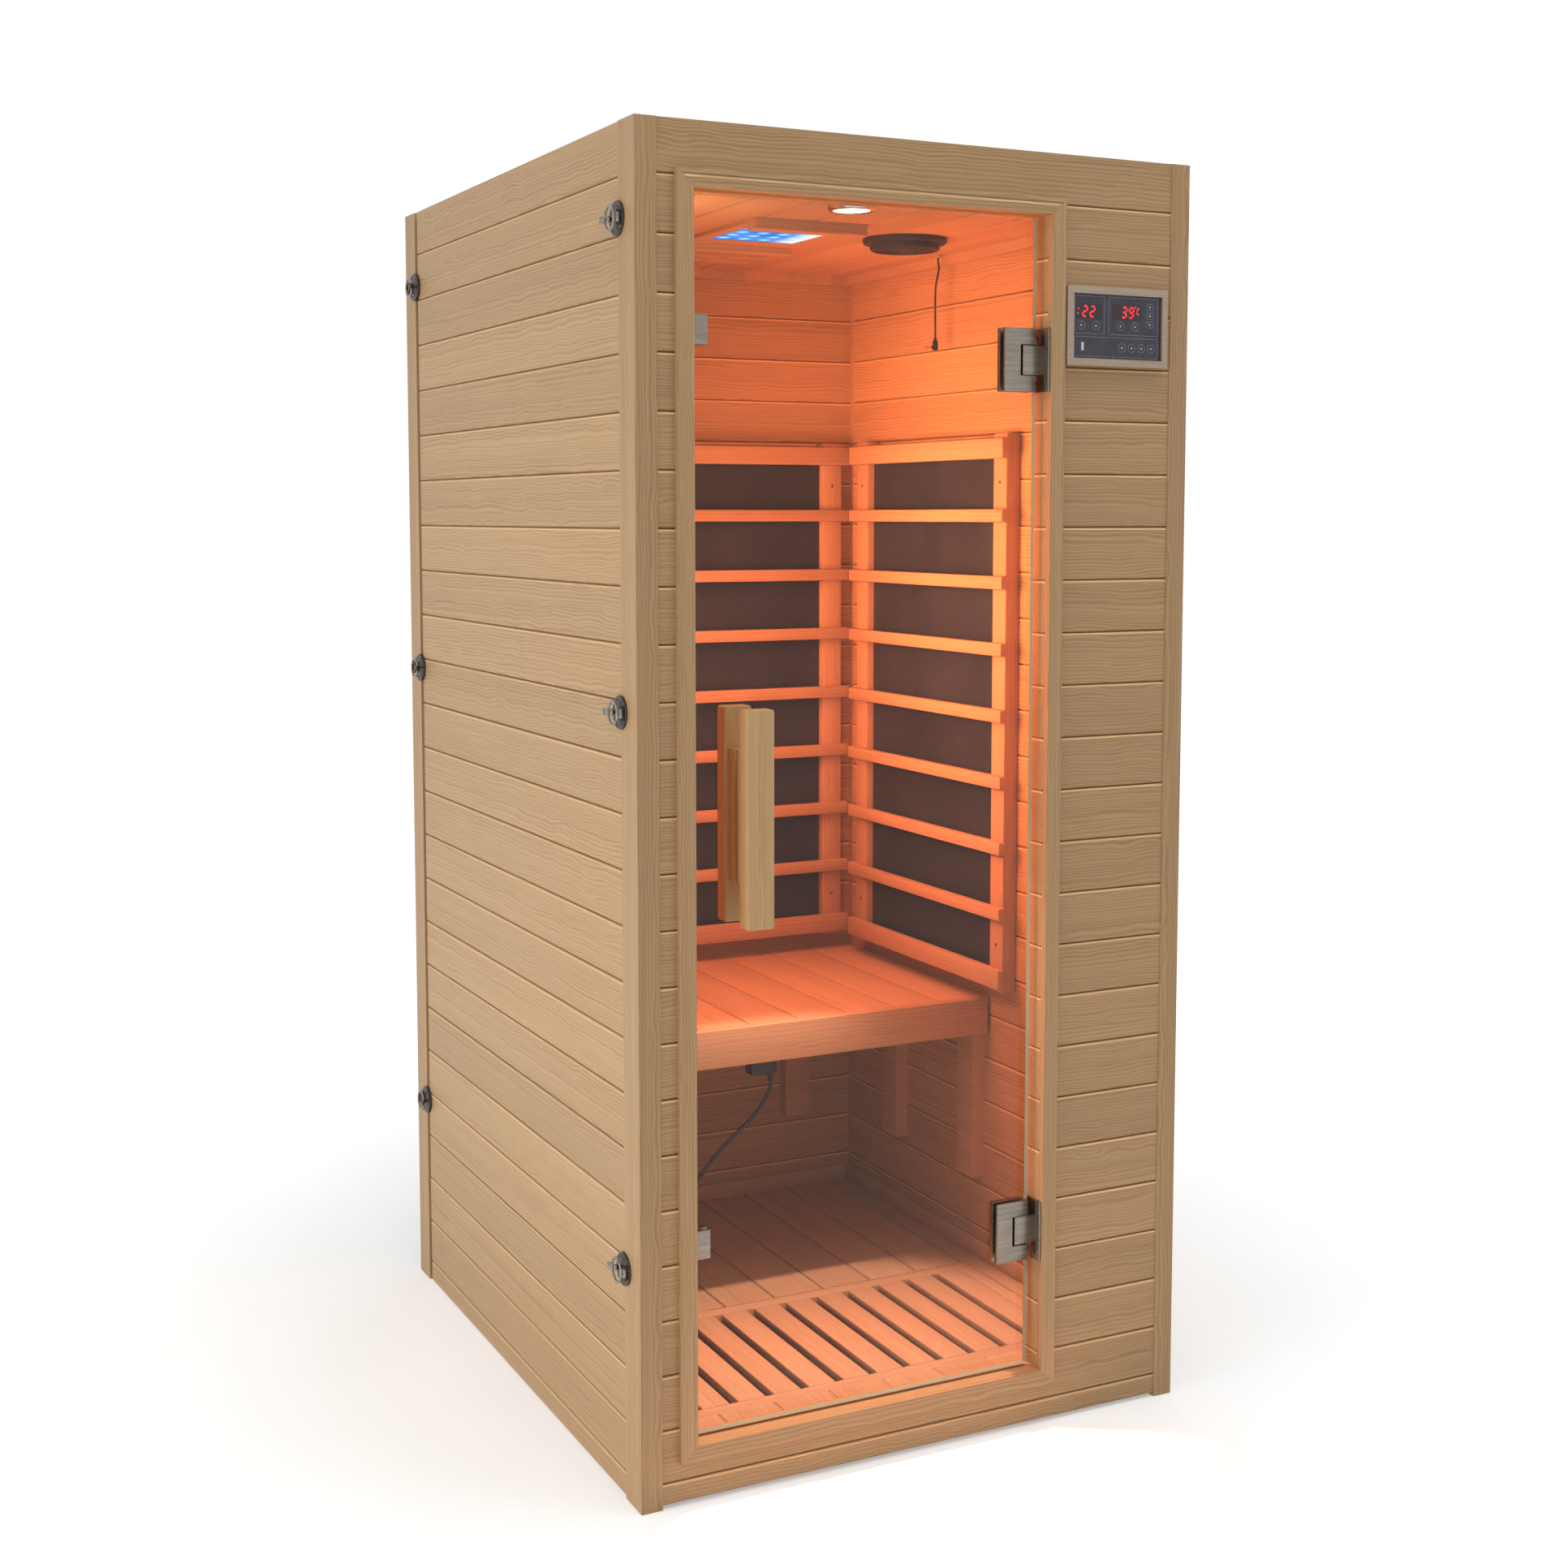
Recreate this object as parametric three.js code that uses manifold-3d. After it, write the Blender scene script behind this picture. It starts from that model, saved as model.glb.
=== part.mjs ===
// One-person infrared sauna cabin: boarded walls held by draw latches, a glass door, a bench and heaters.
// Millimetres, +Z up, +Y from the door to the back wall, origin on the ground under the middle of the cabin.

import * as THREE from 'three';
import { mergeVertices } from 'three/addons/utils/BufferGeometryUtils.js';
import Module from 'manifold-3d';

const wasm = await Module();
wasm.setup();

// Running and seating gaps
const clearance = 0.3;
const embed = 1;

// Facets round pins, bosses and fittings
const pinSides = 8;
const coarseSides = 12;
const fineSides = 22;

// Cabin shell
const cabinWidth = 900;
const cabinDepth = 1050;
const cabinHeight = 1900;
const sideWallThickness = 32;
const endWallThickness = 40;
const postWidth = 32;
const postDepth = 56;
const boardRecess = 2;
const boardFootGap = 6;
const shadowGapWidth = 8;
const shadowGapDepth = 12;

// Wall boards
const plinthHeight = 36;
const lowBoardHeight = 76;
const boardPitch = 78;
const grooveWidth = 5;
const grooveDepth = 3;

// Floor
const rimHeight = 8;
const rimInset = 2;
const deckHeight = 60;
const floorBoardPitch = 92;

// Roof
const roofDrop = 50;
const roofSkin = 16;
const roofSink = 4;
const ceilingLining = 16;
const ceilingBoardPitch = 92;
const corniceHeight = 17;
const corniceWidth = 14;

// Door opening and its casing
const openingLeft = 82;
const openingWidth = 568;
const openingBottom = 86;
const headerHeight = 88;
const casingWidth = 24;
const casingThickness = 11;

// Glass door
const glassThickness = 8;
const glassSetback = 16;
const glassLatchGap = 4;
const glassHingeGap = 10;
const glassEndGap = 5;

// Glass hinges
const hingeFromBottom = 215;
const hingeFromTop = 209;
const hingeHeight = 92;
const hingeAxisInset = 18;
const clampReach = 49;
const clampOverrun = 6;
const clampPlate = 6;
const notchHeight = 44;
const notchDepth = 27;
const clampCutHeight = 70;
const hingePinRadius = 3.5;
const hingePinClearance = 0.4;
const knuckleReach = 17;
const knuckleDepth = 18;
const jambPlateThickness = 4;
const jambPlateFrontMargin = 3;
const jambPlateBackMargin = 6;

// Catch plates and magnets on the closing edge
const catchFromBottom = 277;
const catchFromTop = 185;
const strikeHeight = 41;
const strikeWidth = 28;
const strikePlate = 4;
const strikeLip = 2;
const magnetHeight = 40;
const magnetWidth = 27;
const magnetDepth = 10;
const magnetGap = 0.8;

// Door handles
const handleFromLeft = 171;
const handleCentreHeight = 961;
const handleLength = 304;
const handleWidth = 42;
const handleThickness = 25;
const handleRounding = 4;
const handleBevel = 2;
const lugLength = 187;
const lugWidth = 30;
const lugThickness = 20;
const dowelSpacing = 130;
const dowelRadius = 4;
const dowelLength = 18;

// Control panel
const bezelWidth = 180;
const bezelHeight = 116;
const bezelThickness = 12;
const bezelBorder = 11;
const bezelRounding = 8;
const bezelBevel = 2;
const bezelGap = 3;
const bezelFromTop = 246;
const faceSetback = 4;
const controlBodyWidth = 140;
const controlBodyHeight = 84;
const controlBodyDepth = 20;

// Bench
const seatHeight = 535;
const seatThickness = 22;
const seatSideGap = 5;
const seatFront = -26;
const seatPlanks = 9;
const seatGrooveWidth = 4;
const apronThickness = 18;
const apronHeight = 64;
const ledgerHeight = 48;
const supportThickness = 25;
const battenWidth = 50;
const battenFoot = 208;
const frontBattenSetback = 1;
const rearBattenFromBack = 187;
const backBattenOffset = 290;
const ledgerGap = 3;

// Wall heaters
const guardAboveSeat = 34;
const guardSlats = 9;
const slatPitch = 113;
const slatHeight = 22;
const endSlatHeight = 34;
const slatThickness = 14;
const slatOverhang = 8;
const stileWidth = 41;
const stileDepth = 28;
const stileMargin = 18;
const stileOverhang = 8;
const backGuardWidth = 768;
const sideGuardWidth = 524;
const sideGuardCentre = 139;
const elementThickness = 14;
const elementSideGap = 1;

// Floor heater
const floorGrilleWidth = 750;
const floorGrilleDepth = 370;
const floorGrilleCentre = -215;
const floorPocketDepth = 26;
const floorGrilleBorder = 26;
const floorGrilleSlats = 12;
const floorSlatGap = 14;
const floorSlatThickness = 14;
const floorElementThickness = 7;

// Ceiling fittings
const lightCentre = [-5, -25];
const lightBoardWidth = 196;
const lightBoardDepth = 296;
const lightBoardThickness = 6;
const lightRailWidth = 30;
const lightRailHeight = 11;
const lightPanelWidth = 152;
const lightPanelDepth = 146;
const lightPanelThickness = 5;
const lampCentre = [-34, -355];
const lampRadius = 36;
const lampHeight = 11;
const lampRim = 6;
const lampEdge = 2.5;
const speakerCentre = [230, -52];
const speakerRadius = 70;
const speakerFace = 58;
const speakerStep = 9;
const speakerHeight = 20;
const speakerEdge = 4;

// Roof vent
const ventCentre = [5, 206];
const ventWidth = 84;
const ventDepth = 64;
const sliderWidth = 150;
const sliderThickness = 11;
const sliderTravel = 100;
const sliderOverlap = 6;
const railThickness = 8;
const railLip = 6;
const fingerHoleRadius = 11;
const fingerHoleOffset = 60;

// Audio lead: points of its route, the last number being the drop below the ceiling
const auxRadius = 1.6;
const auxBossRadius = 6;
const auxBossHeight = 4;
const auxDrops = [
  [388, 105, 4.3],
  [388, 105, 12],
  [391, 107, 21],
  [387, 103, 32],
  [382, 103, 58],
  [382, 104, 94],
  [383, 105, 129],
  [383, 105, 143.7],
];
const auxBodyRadius = 5;
const auxBodyLength = 22;
const auxPinRadius = 1.75;
const auxPinLength = 14;

// Floor heater lead: points of its route, the last number being the share of the way up to its plug
const leadRadius = 3.4;
const leadPoints = [
  [10, 8, 1],
  [10, 8, 0.975],
  [5, 8, 0.935],
  [-17, 9, 0.85],
  [-57, 11, 0.75],
  [-98, 14, 0.64],
  [-180, 21, 0.35],
  [-230, 25, 0.185],
  [-268, 28, 0.08],
  [-280, 30, 0.035],
  [-280, 30, 0],
];
const plugWidth = 48;
const plugDepth = 26;
const plugHeight = 28;
const plugRounding = 6;
const plugNeckRadius = 6;
const plugNeckLength = 12;
const plugNeckDrop = 16;
const socketWidth = 64;
const socketDepth = 40;
const socketHeight = 46;
const glandRadius = 10;
const glandCapRadius = 7;
const glandBaseHeight = 6;
const glandHeight = 12;

// Draw latches
const latchDrops = { low: 1568, mid: 790, high: 128 };
const latchRadius = 23;
const latchPlate = 3;
const pivotSetback = 16;
const pivotHeight = 7;
const pivotRadius = 1.6;
const pivotClearance = 0.5;
const barrelRadius = 3.4;
const barrelLength = 13;
const earThickness = 3;
const earGap = 0.5;
const earHeight = 8.4;
const earWidth = 4.8;
const ringOffset = 1.5;
const ringRadius = 18.5;
const ringBand = 4;
const ringBottom = 10.4;
const ringThickness = 3.2;
const keeperOffset = 10.5;
const keeperRadius = 3;
const keeperHeight = 12;
const tabWidth = 13;
const tabHeight = 21;
const tabThickness = 4;
const tabRoot = 3;
const tabInset = 0.4;
const ringBevel = 1;

// Places worked out from the driving sizes
const halfWidth = cabinWidth / 2;
const halfDepth = cabinDepth / 2;
const sideOuter = halfWidth - boardRecess;
const sideInner = sideOuter - sideWallThickness;
const endOuter = halfDepth - boardRecess;
const endInner = endOuter - endWallThickness;
const postInner = halfWidth - postWidth;
const postEnd = halfDepth - postDepth;
const roofSeat = cabinHeight - roofDrop;
const roofTop = cabinHeight - roofSink;
const ceiling = roofSeat - ceilingLining;
const roofHalfWidth = sideOuter - roofSkin;
const roofHalfDepth = endOuter - roofSkin;
const openingX = [openingLeft - halfWidth, openingLeft + openingWidth - halfWidth];
const openingZ = [openingBottom, cabinHeight - headerHeight];
const glassX = [openingX[0] + glassLatchGap, openingX[1] - glassHingeGap];
const glassZ = [openingZ[0] + glassEndGap, openingZ[1] - glassEndGap];
const glassY = [-endOuter + glassSetback, -endOuter + glassSetback + glassThickness];
const glassMiddle = (glassY[0] + glassY[1]) / 2;
const hingeAxisX = openingX[1] - hingeAxisInset;
const hingeHeights = { lower: openingZ[0] + hingeFromBottom, upper: openingZ[1] - hingeFromTop };
const catchHeights = { lower: openingZ[0] + catchFromBottom, upper: openingZ[1] - catchFromTop };
const handleX = handleFromLeft - halfWidth;
const bezelX = openingX[1] + casingWidth + bezelGap + bezelWidth / 2;
const bezelCentreHeight = cabinHeight - bezelFromTop;
const seatBottom = seatHeight - seatThickness;
const guardBottom = seatHeight + guardAboveSeat;
const auxRoute = auxDrops.map(([x, y, drop]) => [x, y, ceiling - drop]);
const plugTop = seatBottom - socketHeight - clearance;
const leadFoot = deckHeight + glandHeight + clearance;
const leadTop = plugTop - plugHeight - plugNeckDrop;
const leadRoute = leadPoints.map(([x, y, share]) => [x, y, leadFoot + share * (leadTop - leadFoot)]);
const pocketFloor = deckHeight - floorPocketDepth;

// Colours from the photograph
const hemlock = material(0xc8a06e, 0.62, 0);
const warmHemlock = material(0xc98a5c, 0.62, 0);
const clearGlass = material(0xb9c6c2, 0.05, 0, 0.35);
const brushedNickel = material(0x8d887c, 0.38, 1);
const pewter = material(0x5a514a, 0.42, 1);
const champagne = material(0xa8987d, 0.35, 0.6);
const slate = material(0x42424f, 0.3, 0);
const carbon = material(0x3a3536, 0.7, 0);
const blackPlastic = material(0x1d1c1c, 0.5, 0);
const blueLens = material(0x2a50ff, 0.3, 0);

function material(color, roughness, metalness, opacity = 1) {
  return new THREE.MeshStandardMaterial({ color, roughness, metalness, opacity, transparent: opacity < 1 });
}

// Solids and the joins and cuts between them

function solidOf(geometry) {
  const bare = geometry.clone();
  for (const name of Object.keys(bare.attributes)) {
    if (name !== 'position') bare.deleteAttribute(name);
  }
  const merged = mergeVertices(bare, 1e-4);
  const vertProperties = new Float32Array(merged.attributes.position.array);
  const triVerts = new Uint32Array(merged.index.array);
  return new wasm.Manifold(new wasm.Mesh({ numProp: 3, vertProperties, triVerts }));
}

function geometryOf(solid) {
  const mesh = solid.getMesh();
  const geometry = new THREE.BufferGeometry();
  geometry.setAttribute('position', new THREE.BufferAttribute(new Float32Array(mesh.vertProperties), 3));
  geometry.setIndex(new THREE.BufferAttribute(new Uint32Array(mesh.triVerts), 1));
  return geometry;
}

function join(...pieces) {
  return geometryOf(pieces.map(solidOf).reduce((sum, piece) => sum.add(piece)));
}

function cut(body, ...tools) {
  return geometryOf(tools.map(solidOf).reduce((rest, tool) => rest.subtract(tool), solidOf(body)));
}

function block([x0, x1], [y0, y1], [z0, z1]) {
  const box = new THREE.BoxGeometry(x1 - x0, y1 - y0, z1 - z0);
  return box.translate((x0 + x1) / 2, (y0 + y1) / 2, (z0 + z1) / 2);
}

function around(centre, size) {
  return [centre - size / 2, centre + size / 2];
}

function drum(axis, centre, radius, length, sides = coarseSides) {
  const cylinder = new THREE.CylinderGeometry(radius, radius, length, sides);
  if (axis === 'x') cylinder.rotateZ(Math.PI / 2);
  if (axis === 'z') cylinder.rotateX(Math.PI / 2);
  return cylinder.translate(...centre);
}

// A straight bar of one outline: the outline lies in (y, z), (x, z) or (x, y) for a bar along x, y or z.
function bar(axis, outline, [from, to]) {
  const ready = outline instanceof THREE.Shape;
  const shape = ready ? outline : new THREE.Shape(outline.map((p) => new THREE.Vector2(...p)));
  const solid = new THREE.ExtrudeGeometry(shape, { depth: to - from, bevelEnabled: false, curveSegments: 4 });
  const [x, y, z] = [new THREE.Vector3(1, 0, 0), new THREE.Vector3(0, 1, 0), new THREE.Vector3(0, 0, 1)];
  const turn = new THREE.Matrix4();
  if (axis === 'x') return solid.applyMatrix4(turn.makeBasis(y, z, x)).translate(from, 0, 0);
  if (axis === 'y') return solid.applyMatrix4(turn.makeBasis(x, z, y.negate())).translate(0, to, 0);
  return solid.translate(0, 0, from);
}

function roundedRectangle(width, height, radius) {
  const [w, h] = [width / 2, height / 2];
  const shape = new THREE.Shape();
  shape.absarc(w - radius, h - radius, radius, 0, Math.PI / 2);
  shape.absarc(radius - w, h - radius, radius, Math.PI / 2, Math.PI);
  shape.absarc(radius - w, radius - h, radius, Math.PI, 1.5 * Math.PI);
  shape.absarc(w - radius, radius - h, radius, 1.5 * Math.PI, 2 * Math.PI);
  return shape;
}

// A plate with eased edges whose face looks along -Y and whose back lies at y = 0.
function easedPlate(shape, thickness, bevel) {
  const depth = thickness - bevel;
  const options = {
    depth,
    bevelThickness: bevel,
    bevelSize: bevel,
    bevelOffset: -bevel,
    bevelSegments: 1,
    curveSegments: 3,
  };
  const plate = new THREE.ExtrudeGeometry(shape, options);
  plate.rotateX(Math.PI / 2);
  const floor = block(around(0, 2 * cabinWidth), [0, thickness], around(0, 2 * cabinWidth));
  return cut(plate, floor);
}

function turned(profile, segments) {
  const points = profile.map(([r, z]) => new THREE.Vector2(r, z));
  return new THREE.LatheGeometry(points, segments).rotateX(Math.PI / 2);
}

function mirroredX(geometry) {
  const copy = geometry.clone().scale(-1, 1, 1);
  const corners = copy.index.array;
  for (let i = 0; i < corners.length; i += 3) {
    [corners[i], corners[i + 1]] = [corners[i + 1], corners[i]];
  }
  return copy;
}

function tube(route, radius) {
  const path = new THREE.CatmullRomCurve3(route.map((p) => new THREE.Vector3(...p)));
  const corners = Array.from({ length: pinSides }, (_, i) => {
    const turn = (2 * Math.PI * i) / pinSides;
    return new THREE.Vector2(radius * Math.cos(turn), radius * Math.sin(turn));
  });
  const steps = Math.ceil(path.getLength() / (6 * radius));
  return new THREE.ExtrudeGeometry(new THREE.Shape(corners), { steps, extrudePath: path });
}

// Boards: heights of the grooves between wall boards, and the grooved face between two heights

function boardLines() {
  const lines = [plinthHeight];
  const top = cabinHeight - boardPitch / 2;
  for (let z = plinthHeight + lowBoardHeight; z < top; z += boardPitch) lines.push(z);
  return lines;
}

// Points up one face of a wall; inward is +1 or -1, the way into the material.
function groovedEdge(face, inward, [z0, z1]) {
  const points = [[face, z0]];
  for (const z of boardLines()) {
    if (z - grooveWidth <= z0 || z + grooveWidth >= z1) continue;
    points.push([face, z - grooveWidth / 2], [face + inward * grooveDepth, z], [face, z + grooveWidth / 2]);
  }
  points.push([face, z1]);
  return points;
}

// Section through a wall with its roof seat, outer face at -outer.
function wallSection(outer, inner, bottom, lined) {
  const skin = -outer + roofSkin;
  const outerEdge = groovedEdge(-outer, 1, [bottom, cabinHeight]);
  const plainEdge = [[-inner, bottom], [-inner, roofSeat]];
  const innerEdge = lined ? groovedEdge(-inner, -1, [bottom, roofSeat]) : plainEdge;
  return [...outerEdge, [skin, cabinHeight], [skin, roofSeat], ...innerEdge.reverse()];
}

// V grooves along y on a flat floor or ceiling face; up is +1 for a floor and -1 for a ceiling.
function boardGrooves(face, up, halfSpan, pitch, yRange) {
  const grooves = [];
  for (let x = -Math.floor(halfSpan / pitch) * pitch; x < halfSpan; x += pitch) {
    const lip = face + up * embed;
    const half = grooveWidth / 2 + (grooveWidth / 2) * (embed / grooveDepth);
    grooves.push(bar('y', [[x - half, lip], [x, face - up * grooveDepth], [x + half, lip]], yRange));
  }
  return grooves;
}

// Draw latches: u runs from the joint towards the panel, v along the joint, w out of the wall

const latchPlaces = [];
for (const [side, out] of [['left', -1], ['right', 1]]) {
  for (const [end, along] of [['front', 1], ['rear', -1]]) {
    for (const [level, drop] of Object.entries(latchDrops)) {
      const u = new THREE.Vector3(0, along, 0);
      const w = new THREE.Vector3(out, 0, 0);
      const v = new THREE.Vector3().crossVectors(w, u);
      const matrix = new THREE.Matrix4().makeBasis(u, v, w);
      matrix.setPosition(out * halfWidth, -along * postEnd, cabinHeight - drop);
      latchPlaces.push({ name: `latch_${side}_${end}_${level}`, side, end, matrix });
    }
  }
}

function latchHalfPlate(sign) {
  const gap = sign * clearance / 2;
  const shape = new THREE.Shape();
  const start = -sign * Math.PI / 2;
  shape.absarc(gap, 0, latchRadius, start, start + Math.PI);
  return bar('z', shape, [-boardRecess - grooveDepth, latchPlate]);
}

// The half on the post carries the ears and the pivot pin.
function latchPostHalf() {
  const earPlaces = [1, -1].map((way) => way * (barrelLength / 2 + earGap + earThickness / 2));
  const earX = around(-pivotSetback, earWidth);
  const ears = earPlaces.map((v) => block(earX, around(v, earThickness), [0, earHeight]));
  const pinLength = barrelLength + 2 * earGap + earThickness;
  const pin = drum('y', [-pivotSetback, 0, pivotHeight], pivotRadius, pinLength, pinSides);
  return join(latchHalfPlate(-1), ...ears, pin);
}

// The half on the panel carries the keeper that the ring is drawn over.
function latchPanelHalf() {
  const keeper = drum('z', [keeperOffset, 0, keeperHeight / 2], keeperRadius, keeperHeight, pinSides);
  return join(latchHalfPlate(1), keeper);
}

// Lever: a barrel on the pivot, a ring round the keeper and a finger tab that stands out.
function latchLever() {
  const ringTop = ringBottom + ringThickness;
  const inner = ringRadius - ringBand;
  const section = [
    [inner, ringBottom],
    [ringRadius, ringBottom],
    [ringRadius - ringBevel, ringTop],
    [inner + ringBevel, ringTop],
    [inner, ringBottom],
  ];
  const ring = turned(section, coarseSides).translate(ringOffset, 0, 0);
  const barrel = drum('y', [-pivotSetback, 0, pivotHeight], barrelRadius, barrelLength, pinSides);
  const neckX = [-pivotSetback, ringOffset - inner];
  const neck = block(neckX, around(0, barrelLength - ringBevel), [pivotHeight, ringTop - tabInset]);
  const far = ringOffset + ringRadius;
  const tabOutline = [
    [far - tabRoot, ringBottom + tabInset],
    [far - ringBevel, ringBottom + tabInset],
    [far + tabThickness, tabHeight],
    [far, tabHeight],
  ];
  const tab = bar('y', tabOutline, around(0, tabWidth));
  const boreRadius = pivotRadius + pivotClearance;
  const bore = drum('y', [-pivotSetback, 0, pivotHeight], boreRadius, barrelLength + 2 * embed, pinSides);
  return cut(join(ring, barrel, neck, tab), bore);
}

function latchesOn(side, end, half) {
  return latchPlaces
    .filter((place) => place.side === side && place.end === end)
    .map((place) => half().applyMatrix4(place.matrix));
}

// Floor: a grooved deck with a rim under the side walls and a pocket for the heater
function floorBase() {
  const deckX = [clearance - sideInner, sideInner - clearance];
  const deckY = [clearance - endInner, endInner - clearance];
  const deck = block(deckX, deckY, [0, deckHeight]);
  const rimX = around(0, 2 * (sideOuter - rimInset));
  const rim = block(rimX, around(0, 2 * (postEnd - clearance)), [0, rimHeight]);
  const pocketX = around(0, floorGrilleWidth + 2 * clearance);
  const pocketY = around(floorGrilleCentre, floorGrilleDepth + 2 * clearance);
  const pocket = block(pocketX, pocketY, [pocketFloor, deckHeight + embed]);
  const grooveY = [deckY[0] - embed, deckY[1] + embed];
  const grooves = boardGrooves(deckHeight, 1, deckX[1], floorBoardPitch, grooveY);
  return cut(join(deck, rim), pocket, ...grooves);
}

// Roof: a panel seated on the walls, its lining, the cornice, the vent hole and the slider rails
function roofPanel() {
  const [halfX, halfY] = [sideInner - clearance, endInner - clearance];
  const panelX = around(0, 2 * (roofHalfWidth - clearance));
  const panelY = around(0, 2 * (roofHalfDepth - clearance));
  const panel = block(panelX, panelY, [roofSeat, roofTop]);
  const lining = block([-halfX, halfX], [-halfY, halfY], [ceiling, roofSeat + embed]);
  const corniceZ = [ceiling - corniceHeight, ceiling + grooveDepth + embed];
  const corniceOuter = block([-halfX, halfX], [-halfY, halfY], corniceZ);
  const inside = [halfX - corniceWidth, halfY - corniceWidth];
  const corniceInner = block(
    [-inside[0], inside[0]],
    [-inside[1], inside[1]],
    [corniceZ[0] - embed, corniceZ[1] + embed],
  );
  const cornice = cut(corniceOuter, corniceInner);
  const grooves = boardGrooves(ceiling, -1, inside[0], ceilingBoardPitch, [-inside[1], inside[1]]);
  const ventZ = [ceiling - embed, roofTop + embed];
  const vent = block(around(ventCentre[0], ventWidth), around(ventCentre[1], ventDepth), ventZ);
  const [auxX, auxY] = auxRoute[0];
  const bossZ = ceiling - auxBossHeight / 2 + embed;
  const auxBoss = drum('z', [auxX, auxY, bossZ], auxBossRadius, auxBossHeight + 2 * embed);
  const lined = cut(join(panel, lining), ...grooves, vent);
  return join(lined, cornice, auxBoss, ventRail(1), ventRail(-1));
}

function ventSpan() {
  const right = ventCentre[0] + sliderWidth / 2 + clearance;
  return [right - sliderWidth - sliderTravel - 2 * clearance, right];
}

function ventRail(side) {
  const face = ventCentre[1] + side * (ventDepth / 2 + sliderOverlap + clearance);
  const back = face + side * railThickness;
  const lip = face - side * railLip;
  const lipTop = ceiling - sliderThickness - 2 * clearance;
  const foot = lipTop - railLip;
  const top = ceiling + grooveDepth + embed;
  const outline = [[back, top], [back, foot], [lip, foot], [lip, lipTop], [face, lipTop], [face, top]];
  return bar('x', outline, ventSpan());
}

function ventSlider() {
  const plate = block(
    around(ventCentre[0], sliderWidth),
    around(ventCentre[1], ventDepth + 2 * sliderOverlap),
    [ceiling - clearance - sliderThickness, ceiling - clearance],
  );
  const holeX = ventCentre[0] + fingerHoleOffset;
  const hole = drum('z', [holeX, ventCentre[1], ceiling], fingerHoleRadius, 4 * sliderThickness, fineSides);
  return cut(plate, hole);
}

// Walls: boards between posts, with the roof seat cut along the top
function leftWall() {
  const section = wallSection(sideOuter, sideInner, rimHeight, true);
  const wall = bar('y', section, [clearance - postEnd, postEnd - clearance]);
  const shadowGap = block(
    [-sideOuter - embed, shadowGapDepth - sideOuter],
    [postEnd - shadowGapWidth, postEnd],
    [0, cabinHeight + embed],
  );
  const bases = ['front', 'rear'].flatMap((end) => latchesOn('left', end, latchPanelHalf));
  return join(cut(wall, shadowGap), ...bases);
}

function cornerPost(x, y) {
  const post = block(x, y, [0, cabinHeight]);
  const seat = block(
    around(0, 2 * roofHalfWidth),
    around(0, 2 * roofHalfDepth),
    [roofSeat, cabinHeight + embed],
  );
  return cut(post, seat);
}

function backWall() {
  const span = [-postInner - embed, postInner + embed];
  const boards = bar('x', wallSection(endOuter, endInner, boardFootGap, true), span).rotateZ(Math.PI);
  const posts = [
    cornerPost([-halfWidth, -postInner], [postEnd, halfDepth]),
    cornerPost([postInner, halfWidth], [postEnd, halfDepth]),
  ];
  const bases = ['left', 'right'].flatMap((side) => latchesOn(side, 'rear', latchPostHalf));
  return join(boards, ...posts, ...bases);
}

function frontLeftPanel() {
  const section = wallSection(endOuter, endInner, boardFootGap, false);
  const boards = bar('x', section, [-postInner - embed, openingX[0]]);
  const post = cornerPost([-halfWidth, -postInner], [-halfDepth, -postEnd]);
  return join(boards, post, ...latchesOn('left', 'front', latchPostHalf));
}

function frontRightPanel() {
  const section = wallSection(endOuter, endInner, boardFootGap, false);
  const boards = bar('x', section, [openingX[1], postInner + embed]);
  const post = cornerPost([postInner, halfWidth], [-halfDepth, -postEnd]);
  const pocket = block(
    around(bezelX, controlBodyWidth + 2 * clearance),
    [-endOuter - embed, controlBodyDepth + clearance - endOuter],
    around(bezelCentreHeight, controlBodyHeight + 2 * clearance),
  );
  return join(cut(join(boards, post), pocket), ...latchesOn('right', 'front', latchPostHalf));
}

// Casing strips round the door opening, mitred at the corners
function casingEnds(inset) {
  const outer = [openingX[0] - casingWidth, openingX[1] + casingWidth];
  const low = openingZ[0] - casingWidth;
  const high = openingZ[1] + casingWidth;
  return {
    outer,
    low: low + inset,
    high: high - inset,
    bottom: openingZ[0] + inset,
    top: openingZ[1] - inset,
  };
}

function casingStile(side) {
  const { outer, low, high, bottom, top } = casingEnds(clearance);
  const [edge, inner] = side < 0 ? [outer[0], openingX[0]] : [outer[1], openingX[1]];
  const outline = [[edge, low], [inner, bottom], [inner, top], [edge, high]];
  return bar('y', outline, [-endOuter - casingThickness, -endOuter]);
}

function casingRail(top) {
  const { outer } = casingEnds(0);
  const inner = top ? openingZ[1] : openingZ[0];
  const edge = top ? inner + casingWidth : inner - casingWidth;
  const outline = [[openingX[0], inner], [openingX[1], inner], [outer[1], edge], [outer[0], edge]];
  return bar('y', outline, [-endOuter - casingThickness, -endOuter]);
}

function frontHeader() {
  const skin = -endOuter + roofSkin;
  const section = [
    [-endOuter, openingZ[1]], [-endOuter, cabinHeight], [skin, cabinHeight],
    [skin, roofSeat], [-endInner, roofSeat], [-endInner, openingZ[1]],
  ];
  return join(bar('x', section, openingX), casingRail(true), glueLine(true));
}

function frontSill() {
  const section = [
    ...groovedEdge(-endOuter, 1, [boardFootGap, openingZ[0]]),
    [-endInner, openingZ[0]], [-endInner, boardFootGap],
  ];
  return join(bar('x', section, openingX), casingRail(false), glueLine(false));
}

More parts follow.
